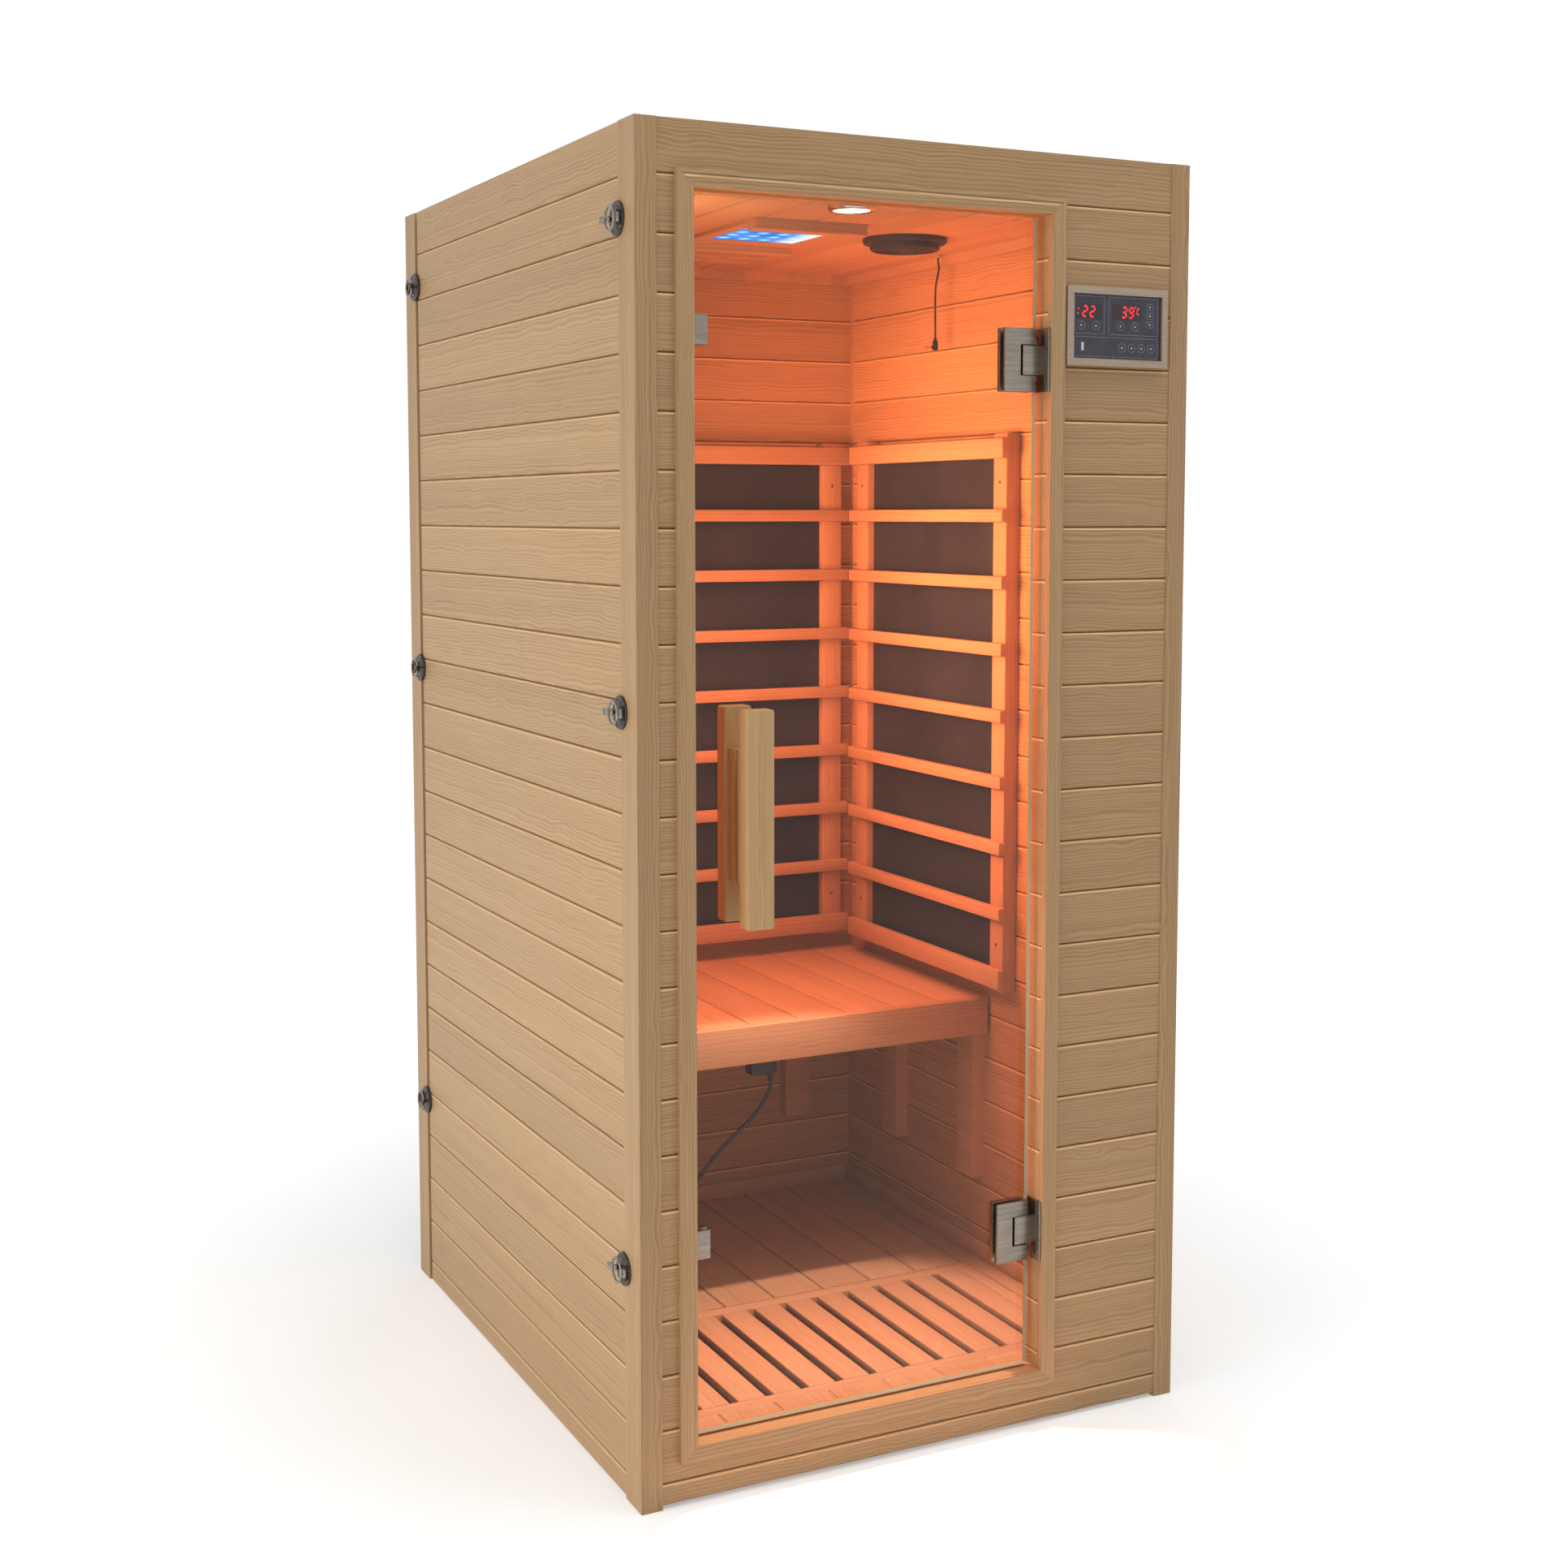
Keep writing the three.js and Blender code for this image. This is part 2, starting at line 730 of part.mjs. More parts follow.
// The glued face between a casing rail and the board behind it, inside both of them.
function glueLine(top) {
  const z = top ? openingZ[1] + casingWidth / 2 : openingZ[0] - casingWidth / 2;
  const x = [openingX[0] + embed, openingX[1] - embed];
  return block(x, around(-endOuter, 2 * embed), around(z, embed));
}

// Glass door with hinge cut-outs on the right edge and two holes for the handle dowels
function doorGlass() {
  const pane = block(glassX, glassY, glassZ);
  const deep = [glassY[0] - embed, glassY[1] + embed];
  const cutX = [hingeAxisX + clampOverrun - notchDepth - clampPlate / 2 - clearance, glassX[1] + embed];
  const cutHeight = clampCutHeight + 2 * clearance;
  const cutouts = Object.values(hingeHeights).map((z) => block(cutX, deep, around(z, cutHeight)));
  const holes = [-1, 1].map((way) => drum(
    'y',
    [handleX, glassMiddle, handleCentreHeight + way * dowelSpacing / 2],
    dowelRadius + 2 * clearance,
    glassThickness + 2 * embed,
  ));
  return cut(pane, ...cutouts, ...holes);
}

// Clamp half of a hinge: two plates on the glass, joined through the cut-out, with the pin across the notch
function hingeClamp(z) {
  const right = hingeAxisX + clampOverrun;
  const notchX = right - notchDepth;
  const outline = [
    [right - clampReach - clampOverrun, z - hingeHeight / 2],
    [right, z - hingeHeight / 2], [right, z - notchHeight / 2], [notchX, z - notchHeight / 2],
    [notchX, z + notchHeight / 2], [right, z + notchHeight / 2], [right, z + hingeHeight / 2],
    [right - clampReach - clampOverrun, z + hingeHeight / 2],
  ];
  const front = bar('y', outline, [glassY[0] - clearance - clampPlate, glassY[0] - clearance]);
  const back = bar('y', outline, [glassY[1] + clearance, glassY[1] + clearance + clampPlate]);
  const between = [glassY[0] - clearance - embed, glassY[1] + clearance + embed];
  const blocks = [-1, 1].map((way) => {
    const ends = [z + way * notchHeight / 2, z + way * clampCutHeight / 2].sort((a, b) => a - b);
    return block([notchX - clampPlate / 2, right], between, ends);
  });
  const pin = drum('z', [hingeAxisX, glassMiddle, z], hingePinRadius, notchHeight + 2 * embed);
  return join(front, back, ...blocks, pin);
}

// Jamb half of a hinge: a plate on the jamb with one knuckle that fills the notch round the pin
function hingeJambPlate(z) {
  const jamb = openingX[1];
  const front = jambPlateFrontMargin - endOuter - casingThickness;
  const back = -endInner - jambPlateBackMargin;
  const plate = block([jamb - jambPlateThickness, jamb], [front, back], around(z, hingeHeight));
  const tall = around(z, notchHeight - embed);
  const knuckleX = [hingeAxisX - knuckleReach, jamb - jambPlateThickness / 2];
  const knuckle = block(knuckleX, around(glassMiddle, knuckleDepth), tall);
  const axis = [hingeAxisX, glassMiddle, z];
  const bore = drum('z', axis, hingePinRadius + hingePinClearance, notchHeight + embed);
  return cut(join(plate, knuckle), bore);
}

// Strike: a clip over the closing edge of the glass. Magnet: a block on the jamb behind it.
function strikePlateOn(z) {
  const x = [glassX[0] - strikeLip, glassX[0] - strikeLip + strikeWidth];
  const y = [glassY[0] - clearance - strikePlate, glassY[1] + clearance + strikePlate];
  const clip = block(x, y, around(z, strikeHeight));
  const slotY = [glassY[0] - clearance, glassY[1] + clearance];
  const slot = block([glassX[0] - clearance, x[1] + embed], slotY, around(z, strikeHeight + 2 * embed));
  return cut(clip, slot);
}

function magnetCatch(z) {
  const x = [openingX[0], openingX[0] + magnetWidth];
  const front = glassY[1] + clearance + strikePlate + magnetGap;
  const body = block(x, [front, front + magnetDepth], around(z, magnetHeight));
  const reliefX = [x[0] + magnetWidth / 2, x[1] + embed];
  const reliefY = [front + magnetDepth / 2, front + magnetDepth + embed];
  const relief = block(reliefX, reliefY, around(z, magnetHeight + 2 * embed));
  return cut(body, relief);
}

// Handle: an eased bar on a lug; the outer one carries two dowels, the inner one their sockets
function handleBar() {
  const outline = roundedRectangle(handleWidth, handleLength, handleRounding);
  const grip = easedPlate(outline, handleThickness, handleBevel);
  const lug = block(around(0, lugWidth), [-embed, lugThickness], around(0, lugLength));
  return join(grip, lug).translate(0, -lugThickness, 0);
}

function dowels(radius, length) {
  return [-1, 1].map((way) => {
    const centre = [0, length / 2 - embed, way * dowelSpacing / 2];
    return drum('y', centre, radius, length + 2 * embed);
  });
}

function outerHandle() {
  return join(handleBar(), ...dowels(dowelRadius, dowelLength));
}

function innerHandle() {
  const sockets = dowels(dowelRadius + 2 * clearance, dowelLength - glassThickness + embed);
  return cut(handleBar().rotateZ(Math.PI), ...sockets);
}

// Control panel: an eased bezel round a dark face whose housing sits in the wall
function controlBezel() {
  const outline = roundedRectangle(bezelWidth, bezelHeight, bezelRounding);
  const plate = easedPlate(outline, bezelThickness, bezelBevel);
  const window = block(
    around(0, bezelWidth - 2 * bezelBorder),
    [-2 * bezelThickness, embed],
    around(0, bezelHeight - 2 * bezelBorder),
  );
  return cut(plate, window);
}

function controlFace() {
  const inset = 2 * (bezelBorder + clearance);
  const plateY = [faceSetback - bezelThickness, 0];
  const plate = block(around(0, bezelWidth - inset), plateY, around(0, bezelHeight - inset));
  const housingY = [-embed, controlBodyDepth];
  const housing = block(around(0, controlBodyWidth), housingY, around(0, controlBodyHeight));
  return join(plate, housing);
}

// Bench: grooved planks from front to back, an apron and three wall supports
function benchSeat() {
  const halfSeat = sideInner - seatSideGap;
  const y = [seatFront, endInner - clearance];
  const seat = block([-halfSeat, halfSeat], y, [seatBottom, seatHeight]);
  const pitch = (2 * halfSeat) / seatPlanks;
  const grooves = [];
  for (let i = 1; i < seatPlanks; i += 1) {
    const x = -halfSeat + i * pitch;
    const half = seatGrooveWidth / 2;
    const lip = seatHeight + embed;
    const outline = [[x - half, lip], [x, seatHeight - grooveDepth], [x + half, lip]];
    grooves.push(bar('y', outline, [y[0] - embed, y[1] + embed]));
  }
  return cut(seat, ...grooves);
}

function benchApron() {
  const half = sideInner - seatSideGap;
  const y = [seatFront - apronThickness, seatFront];
  return block([-half, half], y, [seatHeight - apronHeight, seatHeight]);
}

function benchSideSupport() {
  const x = [sideInner - supportThickness, sideInner];
  const front = seatFront + frontBattenSetback;
  const back = endInner - supportThickness - ledgerGap;
  const ledger = block(x, [front, back], [seatBottom - ledgerHeight, seatBottom]);
  const rear = endInner - rearBattenFromBack;
  const legs = [[front, front + battenWidth], [rear - battenWidth, rear]];
  return join(ledger, ...legs.map((y) => block(x, y, [battenFoot, seatBottom])));
}

function benchBackSupport() {
  const y = [endInner - supportThickness, endInner];
  const half = sideInner - supportThickness - ledgerGap;
  const ledger = block([-half, half], y, [seatBottom - ledgerHeight, seatBottom]);
  const legZ = [battenFoot, seatBottom];
  const legs = [-1, 1].map((way) => block(around(way * backBattenOffset, battenWidth), y, legZ));
  return join(ledger, ...legs);
}

// Wall heater: x along the wall, the wall face at y = 0, slats in front of two stiles
function guardSlatHeights() {
  return Array.from({ length: guardSlats }, (_, i) => guardBottom + endSlatHeight / 2 + i * slatPitch);
}

function heaterGuard(width) {
  const half = width / 2;
  const levels = guardSlatHeights();
  const ends = endSlatHeight / 2 + stileOverhang;
  const stileZ = [levels[0] - ends, levels.at(-1) + ends];
  const stiles = [-1, 1].map((way) => block(
    around(way * (half - stileWidth / 2), stileWidth),
    [-stileDepth, -clearance],
    stileZ,
  ));
  const slats = levels.map((z, i) => {
    const tall = i === 0 || i === guardSlats - 1 ? endSlatHeight : slatHeight;
    const span = around(0, width + 2 * slatOverhang);
    return block(span, [-stileDepth - slatThickness, embed - stileDepth], around(z, tall));
  });
  return join(...stiles, ...slats);
}

function heaterElement(width) {
  const levels = guardSlatHeights();
  const inside = width - 2 * (stileWidth + elementSideGap);
  const z = [levels[0] + stileMargin - endSlatHeight, levels.at(-1) + endSlatHeight - stileMargin];
  return block(around(0, inside), [-elementThickness, -clearance], z);
}

// Floor heater: a slatted grille on a border, over a flat element
function floorGrille() {
  const x = around(0, floorGrilleWidth);
  const y = around(floorGrilleCentre, floorGrilleDepth);
  const frame = block(x, y, [pocketFloor, deckHeight]);
  const insideWidth = floorGrilleWidth - 2 * floorGrilleBorder;
  const insideY = around(floorGrilleCentre, floorGrilleDepth - 2 * floorGrilleBorder);
  const hollowZ = [pocketFloor - embed, deckHeight - floorSlatThickness];
  const hollow = block(around(0, insideWidth), insideY, hollowZ);
  const pitch = (insideWidth + floorSlatGap) / floorGrilleSlats;
  const gaps = [];
  for (let i = 1; i < floorGrilleSlats; i += 1) {
    const centre = -insideWidth / 2 + i * pitch - floorSlatGap / 2;
    gaps.push(block(around(centre, floorSlatGap), insideY, [pocketFloor, deckHeight + embed]));
  }
  return cut(frame, hollow, ...gaps);
}

function floorElement() {
  const inset = 2 * (floorGrilleBorder + clearance);
  const x = around(0, floorGrilleWidth - inset);
  const y = around(floorGrilleCentre, floorGrilleDepth - inset);
  return block(x, y, [pocketFloor, pocketFloor + floorElementThickness]);
}

// Ceiling fittings, each on the lining
function lightFrame() {
  const [cx, cy] = lightCentre;
  const x = around(cx, lightBoardWidth);
  const y = around(cy, lightBoardDepth);
  const under = ceiling - lightBoardThickness;
  const board = block(x, y, [under, ceiling]);
  const rails = [[y[0], y[0] + lightRailWidth], [y[1] - lightRailWidth, y[1]]];
  const bars = rails.map((rail) => block(x, rail, [under - lightRailHeight, under + embed]));
  const window = block(
    around(cx, lightPanelWidth + 2 * clearance),
    around(cy, lightPanelDepth + 2 * clearance),
    [under - embed, ceiling + embed],
  );
  return cut(join(board, ...bars), window);
}

function lightPanel() {
  const [cx, cy] = lightCentre;
  const z = [ceiling - lightPanelThickness, ceiling];
  return block(around(cx, lightPanelWidth), around(cy, lightPanelDepth), z);
}

function readingLamp() {
  const lens = lampRadius - lampRim;
  const profile = [
    [0, 0],
    [lampRadius, 0],
    [lampRadius, lampEdge - lampHeight],
    [lampRadius - lampEdge, -lampHeight],
    [lens, -lampHeight],
    [lens - lampEdge / 2, lampEdge - lampHeight],
    [0, lampEdge - lampHeight],
  ];
  return turned(profile.reverse(), fineSides).translate(...lampCentre, ceiling);
}

function speaker() {
  const profile = [
    [0, 0],
    [speakerRadius, 0],
    [speakerRadius, speakerEdge - speakerStep],
    [speakerRadius - speakerEdge, -speakerStep],
    [speakerFace, -speakerStep],
    [speakerFace, speakerEdge - speakerHeight],
    [speakerFace - speakerEdge, -speakerHeight],
    [0, -speakerHeight],
  ];
  return turned(profile.reverse(), fineSides).translate(...speakerCentre, ceiling);
}

// Leads with their plugs, socket and gland
function auxPlug() {
  const [x, y, z] = auxRoute.at(-1);
  const top = z - clearance;
  const body = drum('z', [x, y, top - auxBodyLength / 2], auxBodyRadius, auxBodyLength);
  const height = top - auxBodyLength + auxBodyRadius;
  const pinX = x - auxBodyRadius - auxPinLength / 2 + embed;
  const pin = drum('x', [pinX, y, height], auxPinRadius, auxPinLength + embed, pinSides);
  return join(body, pin);
}

function plugCentre() {
  const [x, y] = leadRoute[0];
  return [x - plugWidth / 2 + plugNeckRadius + embed, y];
}

function heaterPlug() {
  const [x, y] = plugCentre();
  const shell = bar('y', roundedRectangle(plugWidth, plugHeight, plugRounding), around(0, plugDepth));
  shell.translate(x, y, plugTop - plugHeight / 2);
  const neckTop = plugTop - plugHeight;
  const [leadX, leadY, leadZ] = leadRoute[0];
  const foot = leadZ + clearance;
  const root = neckTop + plugNeckLength;
  const neck = drum('z', [leadX, leadY, (root + foot) / 2], plugNeckRadius, root - foot);
  return join(shell, neck);
}

function heaterSocket() {
  const [x, y] = plugCentre();
  const outline = roundedRectangle(socketWidth, socketDepth, plugRounding);
  return bar('z', outline, [seatBottom - socketHeight, seatBottom]).translate(x, y, 0);
}

function floorLeadGland() {
  const [x, y] = leadRoute.at(-1);
  const profile = [
    [0, 0],
    [glandRadius, 0],
    [glandRadius, glandBaseHeight],
    [glandCapRadius, glandHeight],
    [0, glandHeight],
  ];
  return turned(profile, coarseSides).translate(x, y, deckHeight);
}

// Assembly
const cabin = new THREE.Group();

function add(name, geometry, look, place = [0, 0, 0], turn = 0) {
  const mesh = new THREE.Mesh(geometry, look);
  mesh.name = name;
  mesh.position.set(...place);
  mesh.rotation.z = turn;
  cabin.add(mesh);
  return mesh;
}

add('floor_base', floorBase(), warmHemlock);
add('roof_panel', roofPanel(), warmHemlock);
add('back_wall', backWall(), hemlock);
add('left_wall', leftWall(), hemlock);
add('right_wall', mirroredX(leftWall()), hemlock);
add('front_left_panel', frontLeftPanel(), hemlock);
add('front_right_panel', frontRightPanel(), hemlock);
add('front_header', frontHeader(), hemlock);
add('front_sill', frontSill(), hemlock);
add('casing_left', casingStile(-1), hemlock);
add('casing_right', casingStile(1), hemlock);

add('door_glass', doorGlass(), clearGlass);
for (const [level, z] of Object.entries(hingeHeights)) {
  add(`${level}_hinge_clamp`, hingeClamp(z), brushedNickel);
  add(`${level}_hinge_jamb_plate`, hingeJambPlate(z), brushedNickel);
}
for (const [level, z] of Object.entries(catchHeights)) {
  add(`${level}_strike_plate`, strikePlateOn(z), brushedNickel);
  add(`${level}_magnet_catch`, magnetCatch(z), blackPlastic);
}
add('handle_outer', outerHandle(), hemlock, [handleX, glassY[0], handleCentreHeight]);
add('handle_inner', innerHandle(), hemlock, [handleX, glassY[1], handleCentreHeight]);

add('control_bezel', controlBezel(), champagne, [bezelX, -endOuter, bezelCentreHeight]);
add('control_face', controlFace(), slate, [bezelX, -endOuter, bezelCentreHeight]);

add('bench_seat', benchSeat(), warmHemlock);
add('bench_apron', benchApron(), warmHemlock);
add('bench_support_right', benchSideSupport(), warmHemlock);
add('bench_support_left', mirroredX(benchSideSupport()), warmHemlock);
add('bench_support_back', benchBackSupport(), warmHemlock);

add('back_heater_guard', heaterGuard(backGuardWidth), warmHemlock, [0, endInner, 0]);
add('back_heater_element', heaterElement(backGuardWidth), carbon, [0, endInner, 0]);
for (const [side, way] of [['left', 1], ['right', -1]]) {
  const place = [-way * sideInner, sideGuardCentre, 0];
  add(`${side}_heater_guard`, heaterGuard(sideGuardWidth), warmHemlock, place, way * Math.PI / 2);
  add(`${side}_heater_element`, heaterElement(sideGuardWidth), carbon, place, way * Math.PI / 2);
}
add('floor_heater_grille', floorGrille(), warmHemlock);
add('floor_heater_element', floorElement(), carbon);

add('light_frame', lightFrame(), warmHemlock);
add('light_panel', lightPanel(), blueLens);
add('reading_lamp', readingLamp(), pewter);
add('speaker', speaker(), blackPlastic);
add('vent_slider', ventSlider(), warmHemlock);
add('aux_lead', tube(auxRoute, auxRadius), blackPlastic);
add('aux_plug', auxPlug(), blackPlastic);

add('heater_socket', heaterSocket(), blackPlastic);
add('heater_plug', heaterPlug(), blackPlastic);
add('heater_lead', tube(leadRoute, leadRadius), blackPlastic);
add('floor_lead_gland', floorLeadGland(), blackPlastic);

for (const place of latchPlaces) {
  const lever = add(place.name, latchLever(), pewter);
  lever.applyMatrix4(place.matrix);
}

export default cabin;
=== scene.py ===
import bpy
import math
from math import radians
from mathutils import Matrix, Vector


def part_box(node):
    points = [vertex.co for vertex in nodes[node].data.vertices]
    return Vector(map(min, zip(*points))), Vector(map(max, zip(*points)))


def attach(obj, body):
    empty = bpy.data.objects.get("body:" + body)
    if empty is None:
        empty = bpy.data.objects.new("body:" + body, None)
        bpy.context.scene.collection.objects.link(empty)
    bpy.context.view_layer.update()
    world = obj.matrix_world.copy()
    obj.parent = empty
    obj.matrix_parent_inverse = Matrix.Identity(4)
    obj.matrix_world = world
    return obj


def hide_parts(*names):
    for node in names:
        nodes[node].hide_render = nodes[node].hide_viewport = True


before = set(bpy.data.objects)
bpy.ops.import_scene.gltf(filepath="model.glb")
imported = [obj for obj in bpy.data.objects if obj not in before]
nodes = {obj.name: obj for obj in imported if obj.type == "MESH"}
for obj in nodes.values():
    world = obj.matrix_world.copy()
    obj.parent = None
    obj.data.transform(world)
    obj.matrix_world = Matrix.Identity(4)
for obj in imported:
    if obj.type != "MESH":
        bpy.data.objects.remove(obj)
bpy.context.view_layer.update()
scene = bpy.context.scene
scene.view_settings.view_transform = "Standard"

bevelFrom, smoothUnder, easedUnder = (radians(angle) for angle in (35, 35, 40))


def mode(kind):
    bpy.ops.object.mode_set(mode=kind)


def selectAll():
    bpy.ops.mesh.select_all(action="SELECT")


def active():
    return bpy.context.active_object


def deselect():
    if bpy.context.mode != "OBJECT":
        mode("OBJECT")
    bpy.ops.object.select_all(action="DESELECT")


def pick(piece):
    deselect()
    piece.select_set(True)
    bpy.context.view_layer.objects.active = piece


def settle(piece):
    pick(piece)
    bpy.ops.object.transform_apply(location=True, rotation=True, scale=True)


def smooth(piece, angle=smoothUnder):
    pick(piece)
    bpy.ops.object.shade_smooth_by_angle(angle=angle)


def ease(piece, width, steps=2):
    pick(piece)
    bevel = piece.modifiers.new("edge", "BEVEL")
    bevel.width = width
    bevel.segments = steps
    bevel.limit_method = "ANGLE"
    bevel.angle_limit = bevelFrom
    bpy.ops.object.modifier_apply(modifier=bevel.name)
    smooth(piece, easedUnder)


def middle(low, high):
    return [(a + b) / 2 for a, b in zip(low, high)]


def cube(centre, size, turn=0.0):
    deselect()
    bpy.ops.mesh.primitive_cube_add(size=1, location=centre)
    piece = active()
    piece.scale = size
    piece.rotation_euler = (0, 0, turn)
    settle(piece)
    return piece


def board(name, low, high, edge, steps=2):
    piece = cube(middle(low, high), [b - a for a, b in zip(low, high)])
    piece.name = name
    ease(piece, edge, steps)
    return piece


turns = {"x": (0, math.pi / 2, 0), "y": (math.pi / 2, 0, 0), "z": (0, 0, 0)}


def disc(name, centre, radius, depth, axis, edge, sides=40):
    deselect()
    bpy.ops.mesh.primitive_cylinder_add(
        vertices=sides, radius=radius, depth=depth, location=centre, rotation=turns[axis])
    piece = active()
    piece.name = name
    settle(piece)
    ease(piece, edge)
    return piece


def hoop(centre, radius, wire, axis, sides, wireSides, squash=1.0):
    deselect()
    bpy.ops.mesh.primitive_torus_add(
        location=centre, rotation=turns[axis], major_segments=sides, minor_segments=wireSides,
        major_radius=radius, minor_radius=wire)
    piece = active()
    piece.scale = (1, 1, squash)
    settle(piece)
    bpy.ops.object.shade_smooth()
    return piece


def newMesh(name, points, edges, faces):
    mesh = bpy.data.meshes.new(name)
    mesh.from_pydata(points, edges, faces)
    piece = bpy.data.objects.new(name, mesh)
    scene.collection.objects.link(piece)
    pick(piece)
    mode("EDIT")
    selectAll()
    return piece


# an outline in x and z, thick from one y to another
def slab(name, outline, low, high, edge, steps=2):
    piece = newMesh(name, [(x, low, z) for x, z in outline], [], [list(range(len(outline)))])
    bpy.ops.mesh.extrude_region_move(TRANSFORM_OT_translate={"value": (0, high - low, 0)})
    selectAll()
    bpy.ops.mesh.normals_make_consistent(inside=False)
    mode("OBJECT")
    ease(piece, edge, steps)
    return piece


def softCorners(width, height, radius, steps=6):
    points = []
    corners = [(1, 1, 0), (-1, 1, 90), (-1, -1, 180), (1, -1, 270)]
    for wx, wz, start in corners:
        for i in range(steps + 1):
            turn = radians(start + 90 * i / steps)
            x = wx * (width / 2 - radius) + radius * math.cos(turn)
            z = wz * (height / 2 - radius) + radius * math.sin(turn)
            points.append((x, z))
    return points


# a profile of radius and height, turned about z
def turned(name, profile, centre, steps=48):
    piece = newMesh(name, [(r, 0, z) for r, z in profile], [(i, i + 1) for i in range(len(profile) - 1)], [])
    bpy.ops.mesh.spin(steps=steps, angle=2 * math.pi, center=(0, 0, 0), axis=(0, 0, 1))
    selectAll()
    bpy.ops.mesh.remove_doubles(threshold=0.00001)
    bpy.ops.mesh.normals_make_consistent(inside=False)
    mode("OBJECT")
    piece.data.transform(Matrix.Translation(Vector(centre)))
    smooth(piece)
    return piece


def joined(name, pieces):
    deselect()
    for piece in pieces:
        piece.select_set(True)
    bpy.context.view_layer.objects.active = pieces[0]
    if len(pieces) > 1:
        bpy.ops.object.join()
    pieces[0].name = name
    return pieces[0]


def copyOf(source, name, matrix):
    mesh = source.data.copy()
    mesh.transform(matrix)
    piece = bpy.data.objects.new(name, mesh)
    scene.collection.objects.link(piece)
    return piece


def drop(piece):
    mesh = piece.data
    bpy.data.objects.remove(piece)
    bpy.data.meshes.remove(mesh)


def cut(piece, centre, size, turn=0.0):
    cutter = cube(centre, size, turn)
    pick(piece)
    carve = piece.modifiers.new("cut", "BOOLEAN")
    carve.operation = "DIFFERENCE"
    carve.solver = "EXACT"
    carve.object = cutter
    bpy.ops.object.modifier_apply(modifier=carve.name)
    drop(cutter)


def fit(piece, slotName, material, *stands, body="cabin"):
    piece.data.materials.clear()
    piece.data.materials.append(material)
    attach(piece, body)
    if stands:
        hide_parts(*stands)


def dress(material, *names):
    for name in names:
        nodes[name].data.materials.clear()
        nodes[name].data.materials.append(material)


# camera, found from the cabin's corners
eyeLook = {"place": (-1.5038, -3.0726, 1.377), "tilt": -4.82, "turn": -26.56, "lens": 47.44, "shiftY": -0.06,
           "sensor": 36, "sight": 60}
bpy.ops.object.camera_add(
    location=eyeLook["place"],
    rotation=(radians(90 + eyeLook["tilt"]), 0, radians(eyeLook["turn"])))
eye = active()
eye.data.lens = eyeLook["lens"]
eye.data.sensor_width = eyeLook["sensor"]
eye.data.shift_y = eyeLook["shiftY"]
eye.data.clip_end = eyeLook["sight"]
scene.camera = eye


# shader building blocks
def shader(name):
    material = bpy.data.materials.new(name)
    material.use_nodes = True
    material.node_tree.nodes.clear()
    return material, material.node_tree


def put(net, kind, sockets, **settings):
    made = net.nodes.new("ShaderNode" + kind)
    for key, value in settings.items():
        setattr(made, key, value)
    for key, value in sockets.items():
        if isinstance(value, bpy.types.NodeSocket):
            net.links.new(value, made.inputs[key])
        else:
            made.inputs[key].default_value = value
    return made.outputs


def calc(net, operation, first, second=0.0):
    return put(net, "Math", {0: first, 1: second}, operation=operation)[0]


def size(net, value):
    return calc(net, "ABSOLUTE", value)


def ranged(net, value, low, high, toLow, toHigh):
    sockets = {"Value": value, "From Min": low, "From Max": high, "To Min": toLow, "To Max": toHigh}
    return put(net, "MapRange", sockets, clamp=True)[0]


def choose(net, where, first, second):
    return put(net, "Mix", {0: where, 2: first, 3: second}, data_type="FLOAT")[0]


def blendColour(net, factor, first, second, way="MIX"):
    return put(net, "Mix", {0: factor, 6: first, 7: second}, data_type="RGBA", blend_type=way)[2]


def layered(net, where, first, second):
    return put(net, "MixShader", {0: where, 1: first, 2: second})[0]


def ramp(net, value, stops):
    colour = put(net, "ValToRGB", {0: value})[0]
    band = colour.node.color_ramp
    while len(band.elements) < len(stops):
        band.elements.new(0.5)
    for element, (at, tint) in zip(band.elements, stops):
        element.position = at
        element.color = (*tint, 1)
    return colour


def twoTone(net, value, look, low=0.35, high=0.65):
    return ramp(net, value, [(low, look["dark"]), (high, look["light"])])


def objectPlace(net):
    return put(net, "TexCoord", {})["Object"]


def objectNormal(net):
    return put(net, "TexCoord", {})["Normal"]


def split(net, vector):
    return dict(zip("xyz", put(net, "SeparateXYZ", {0: vector})))


def scaled(net, vector, by):
    return put(net, "VectorMath", {0: vector, 1: by}, operation="MULTIPLY")[0]


def shifted(net, vector, by):
    return put(net, "VectorMath", {0: vector, 1: by}, operation="ADD")[0]


def noise(net, vector, scale, detail, rough):
    sockets = {"Vector": vector, "Scale": scale, "Detail": detail, "Roughness": rough}
    return put(net, "TexNoise", sockets)[0]


def bump(net, height, strength, distance):
    return put(net, "Bump", {"Strength": strength, "Distance": distance, "Height": height})[0]


def principled(net, sockets):
    return put(net, "BsdfPrincipled", sockets)[0]


def emitted(net, colour, strength):
    return put(net, "Emission", {"Color": colour, "Strength": strength})[0]


# rays that reach the camera straight, by a mirror or through glass
def seenRays(net):
    path = put(net, "LightPath", {})
    seen = calc(net, "MAXIMUM", path["Is Camera Ray"], path["Is Glossy Ray"])
    return calc(net, "MAXIMUM", seen, path["Is Transmission Ray"])


def close(material, surface):
    put(material.node_tree, "OutputMaterial", {"Surface": surface})
    return material


def tones(dark, light, scale, rough, **more):
    return {"dark": dark, "light": light, "scale": scale, "rough": rough, **more}


